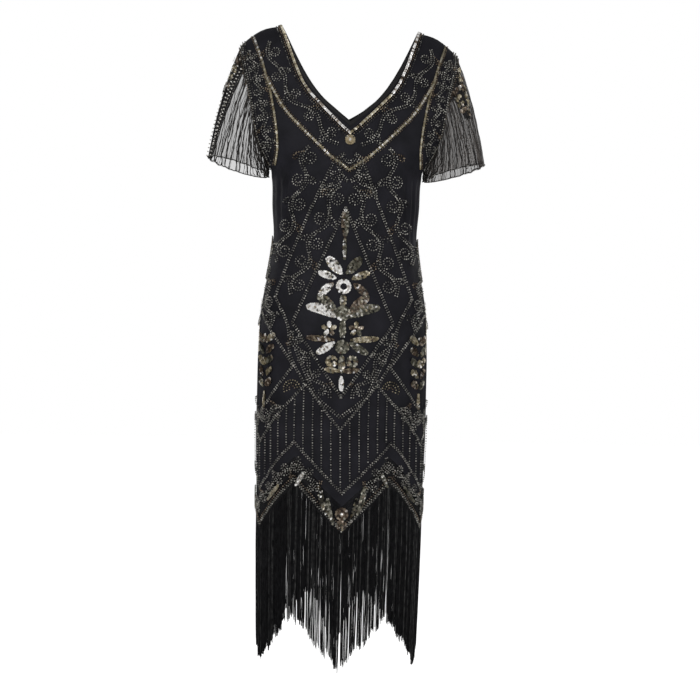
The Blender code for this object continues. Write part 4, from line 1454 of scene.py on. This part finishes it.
def make_sleeve_beadwork():
    """The flower and the column of each sleeve, with beads along its seam and hem."""
    for across, name in SLEEVES:
        chance = random.Random(SLEEVE_SEQUIN_SEED + across)
        spots = sleeve_spots(across)
        sequins = Pile()
        at_flower = round_the_sleeve(SLEEVE_FLOWERS[across])
        flower(sequins, spots, at_flower, SLEEVE_PETALS, SLEEVE_ROUNDS, chance)
        build_pile(f"{name}_sleeve_sequins", sequins, False)
        beads = Pile()
        column = round_the_sleeve(SLEEVE_COLUMNS_OF_BEADS[across][0])
        for off, start, size, pitch, tint in SLEEVE_STRINGS:
            path = column(filled_in(((off, start), (off * 1.1, 207))))
            string(beads, spots, path, pitch * MM, size * MM, tint)
        turns = np.linspace(0, 1, 700)
        for t, tint in SLEEVE_EDGES:
            path = np.stack((turns, np.full_like(turns, t)), axis=1)
            string(beads, spots, path, BEAD_PITCH, BEAD * 0.85, tint)
        build_pile(f"{name}_sleeve_beads", beads, True)


def make_beads():
    for side, name in SIDE_NAMES.items():
        pile = Pile()
        bodice_beads(pile, side)
        skirt_beads(pile, side)
        build_pile(f"{name}_beads", pile, True)


def make_neck_trims():
    """Binding along the necklines, from one shoulder to the other, under the row of sequins."""
    for side, name in SIDE_NAMES.items():
        half = edge_of(side, range(NECK_LINE + 1))
        edge = np.vstack((half[:0:-1] * (-1, 1), half))
        rows = []
        for inside, lift in NECK_TRIM:
            place = on_side(side, 1, from_front(beside(edge, -inside) * MM), False)
            spot, normal = body_spots(place[:, 0], place[:, 1])
            rows.append(spot + normal * lift)
        rows = np.array(rows)
        faces = grid_faces(rows.shape[0], rows.shape[1])
        braid = ordinary_mesh(f"{name}_neck_braid", rows.reshape(-1, 3), faces, [BINDING])
        settle(braid, "gold_sequins", f"{name}_neck_trim")


def make_medallion():
    """Rings of sequins on a low dome."""
    chance = random.Random(MEDALLION_SEED)
    pile = Pile()

    def to_surface(flat):
        return from_front((flat + MEDALLION_MIDDLE) * MM)

    for radius, count, size, tint in MEDALLION_RINGS:
        ways = heading(all_round(count))
        here, ahead = to_surface(ways * radius), to_surface(ways * (radius + 1))
        points, normals = body_spots(here[:, 0], here[:, 1])
        directions = unit(body(ahead[:, 0], ahead[:, 1]) - points)
        facing = tilted(normals, directions, 0.35, chance, 0.08)
        pile.add(points + normals * (0.0034 - 0.00022 * radius), directions, facing, size, tint)
    build_pile("medallion_sequins", pile, False, "medallion")
    dome = []
    for radius, lift in MEDALLION_DOME:
        here = to_surface(heading(np.linspace(0, 2 * math.pi, 49))[:-1] * radius)
        spot, normal = body_spots(here[:, 0], here[:, 1])
        dome.append(spot + normal * lift)
    dome = np.array(dome)
    faces = grid_faces(dome.shape[0], dome.shape[1], closed=True)
    settle(ordinary_mesh("medallion_base", dome.reshape(-1, 3), faces, [BRAID]), "gold_sequins")


# ---------------------------------------------------------------------------------------------
# Room, light and camera.

FLOOR_REACH = 12.0
FLOOR_HEIGHT = -1.62
# Columns: name, place, aim, power. Each is a square lamp of this width.
LAMP_WIDTH = 1.0
LAMPS = (
    ("key", (-1.6, -2.6, 1.0), (0, 0, -0.5), 40),
    ("fill", (2.2, -2.2, 0.1), (0, 0, -0.6), 17),
    ("rim_left", (-2.0, 2.2, 0.6), (0, 0, -0.5), 12),
    ("rim_right", (2.2, 2.0, 0.6), (0, 0, -0.5), 12),
)
CAMERA_DISTANCE = 2.4
CAMERA_YAW = 3.0
CAMERA_ROLL = 1.3
CAMERA_AIM = (0.014, 0.0, -0.599)
SENSOR_WIDTH = 36
PHOTO_WIDTH = 1.309


def look_along(way):
    return Vector(way).to_track_quat("-Z", "Y")


def add_object(name, data, place):
    made = bpy.data.objects.new(name, data)
    bpy.context.scene.collection.objects.link(made)
    made.location = place
    return made


def make_floor():
    signs = ((-1, -1), (1, -1), (1, 1), (-1, 1))
    corners = [(x * FLOOR_REACH, y * FLOOR_REACH, FLOOR_HEIGHT) for x, y in signs]
    made, _, _ = new_material("studio_floor", {
        "Base Color": (0.93, 0.93, 0.93, 1),
        "Roughness": 0.9,
        "Emission Color": (1, 1, 1, 1),
        "Emission Strength": 0.85,
    })
    floor = ordinary_mesh("studio_floor", corners, [(0, 1, 2, 3)], [made], smooth=False)
    floor.visible_glossy = False


def make_world():
    """A white backdrop for the camera, and a dim ramp from floor to sky as light."""
    world = bpy.data.worlds.new("studio")
    bpy.context.scene.world = world
    world.use_nodes = True
    tree = world.node_tree
    background = tree.nodes["Background"]
    where = add_node(tree, "TexCoord")
    split = add_node(tree, "SeparateXYZ")
    ramp = add_ramp(tree, (0.30, 0.02, 0.02, 0.02), (0.50, 0.05, 0.05, 0.05), (0.80, 0.26, 0.26, 0.26))
    scale = add_node(tree, "Math", operation="MULTIPLY_ADD")
    scale.inputs[1].default_value = 0.5
    scale.inputs[2].default_value = 0.5
    plain = add_node(tree, "Background", {"Color": (1, 1, 1, 1), "Strength": 1.0})
    mix = add_node(tree, "MixShader")
    eye = add_node(tree, "LightPath")
    join(
        tree,
        (where, "Generated", split, "Vector"),
        (split, "Z", scale, 0),
        (scale, "Value", ramp, "Fac"),
        (ramp, "Color", background, "Color"),
        (eye, "Is Camera Ray", mix, "Fac"),
        (background, "Background", mix, 1),
        (plain, "Background", mix, 2),
        (mix, "Shader", tree.nodes["World Output"], "Surface"),
    )


def make_lamps():
    for name, place, aim, power in LAMPS:
        light = bpy.data.lights.new(name, "AREA")
        light.energy = power
        light.size = LAMP_WIDTH
        made = add_object(name, light, place)
        made.rotation_euler = look_along(np.subtract(aim, place)).to_euler()


def make_camera():
    yaw = math.radians(CAMERA_YAW)
    place = np.array(CAMERA_AIM) + CAMERA_DISTANCE * np.array((-math.sin(yaw), -math.cos(yaw), 0.0))
    camera = bpy.data.cameras.new("camera")
    camera.sensor_width = SENSOR_WIDTH
    camera.lens = SENSOR_WIDTH * CAMERA_DISTANCE / PHOTO_WIDTH
    made = add_object("camera", camera, place)
    roll = Quaternion((0, 0, 1), math.radians(CAMERA_ROLL))
    made.rotation_mode = "QUATERNION"
    made.rotation_quaternion = look_along(np.array(CAMERA_AIM) - place) @ roll
    bpy.context.scene.camera = made
    bpy.context.scene.view_settings.view_transform = "Standard"


make_camera()
make_panels()
make_sleeves()
make_fringe()
make_beads()
make_sequins()
make_sleeve_beadwork()
make_neck_trims()
make_medallion()
make_floor()
make_world()
make_lamps()
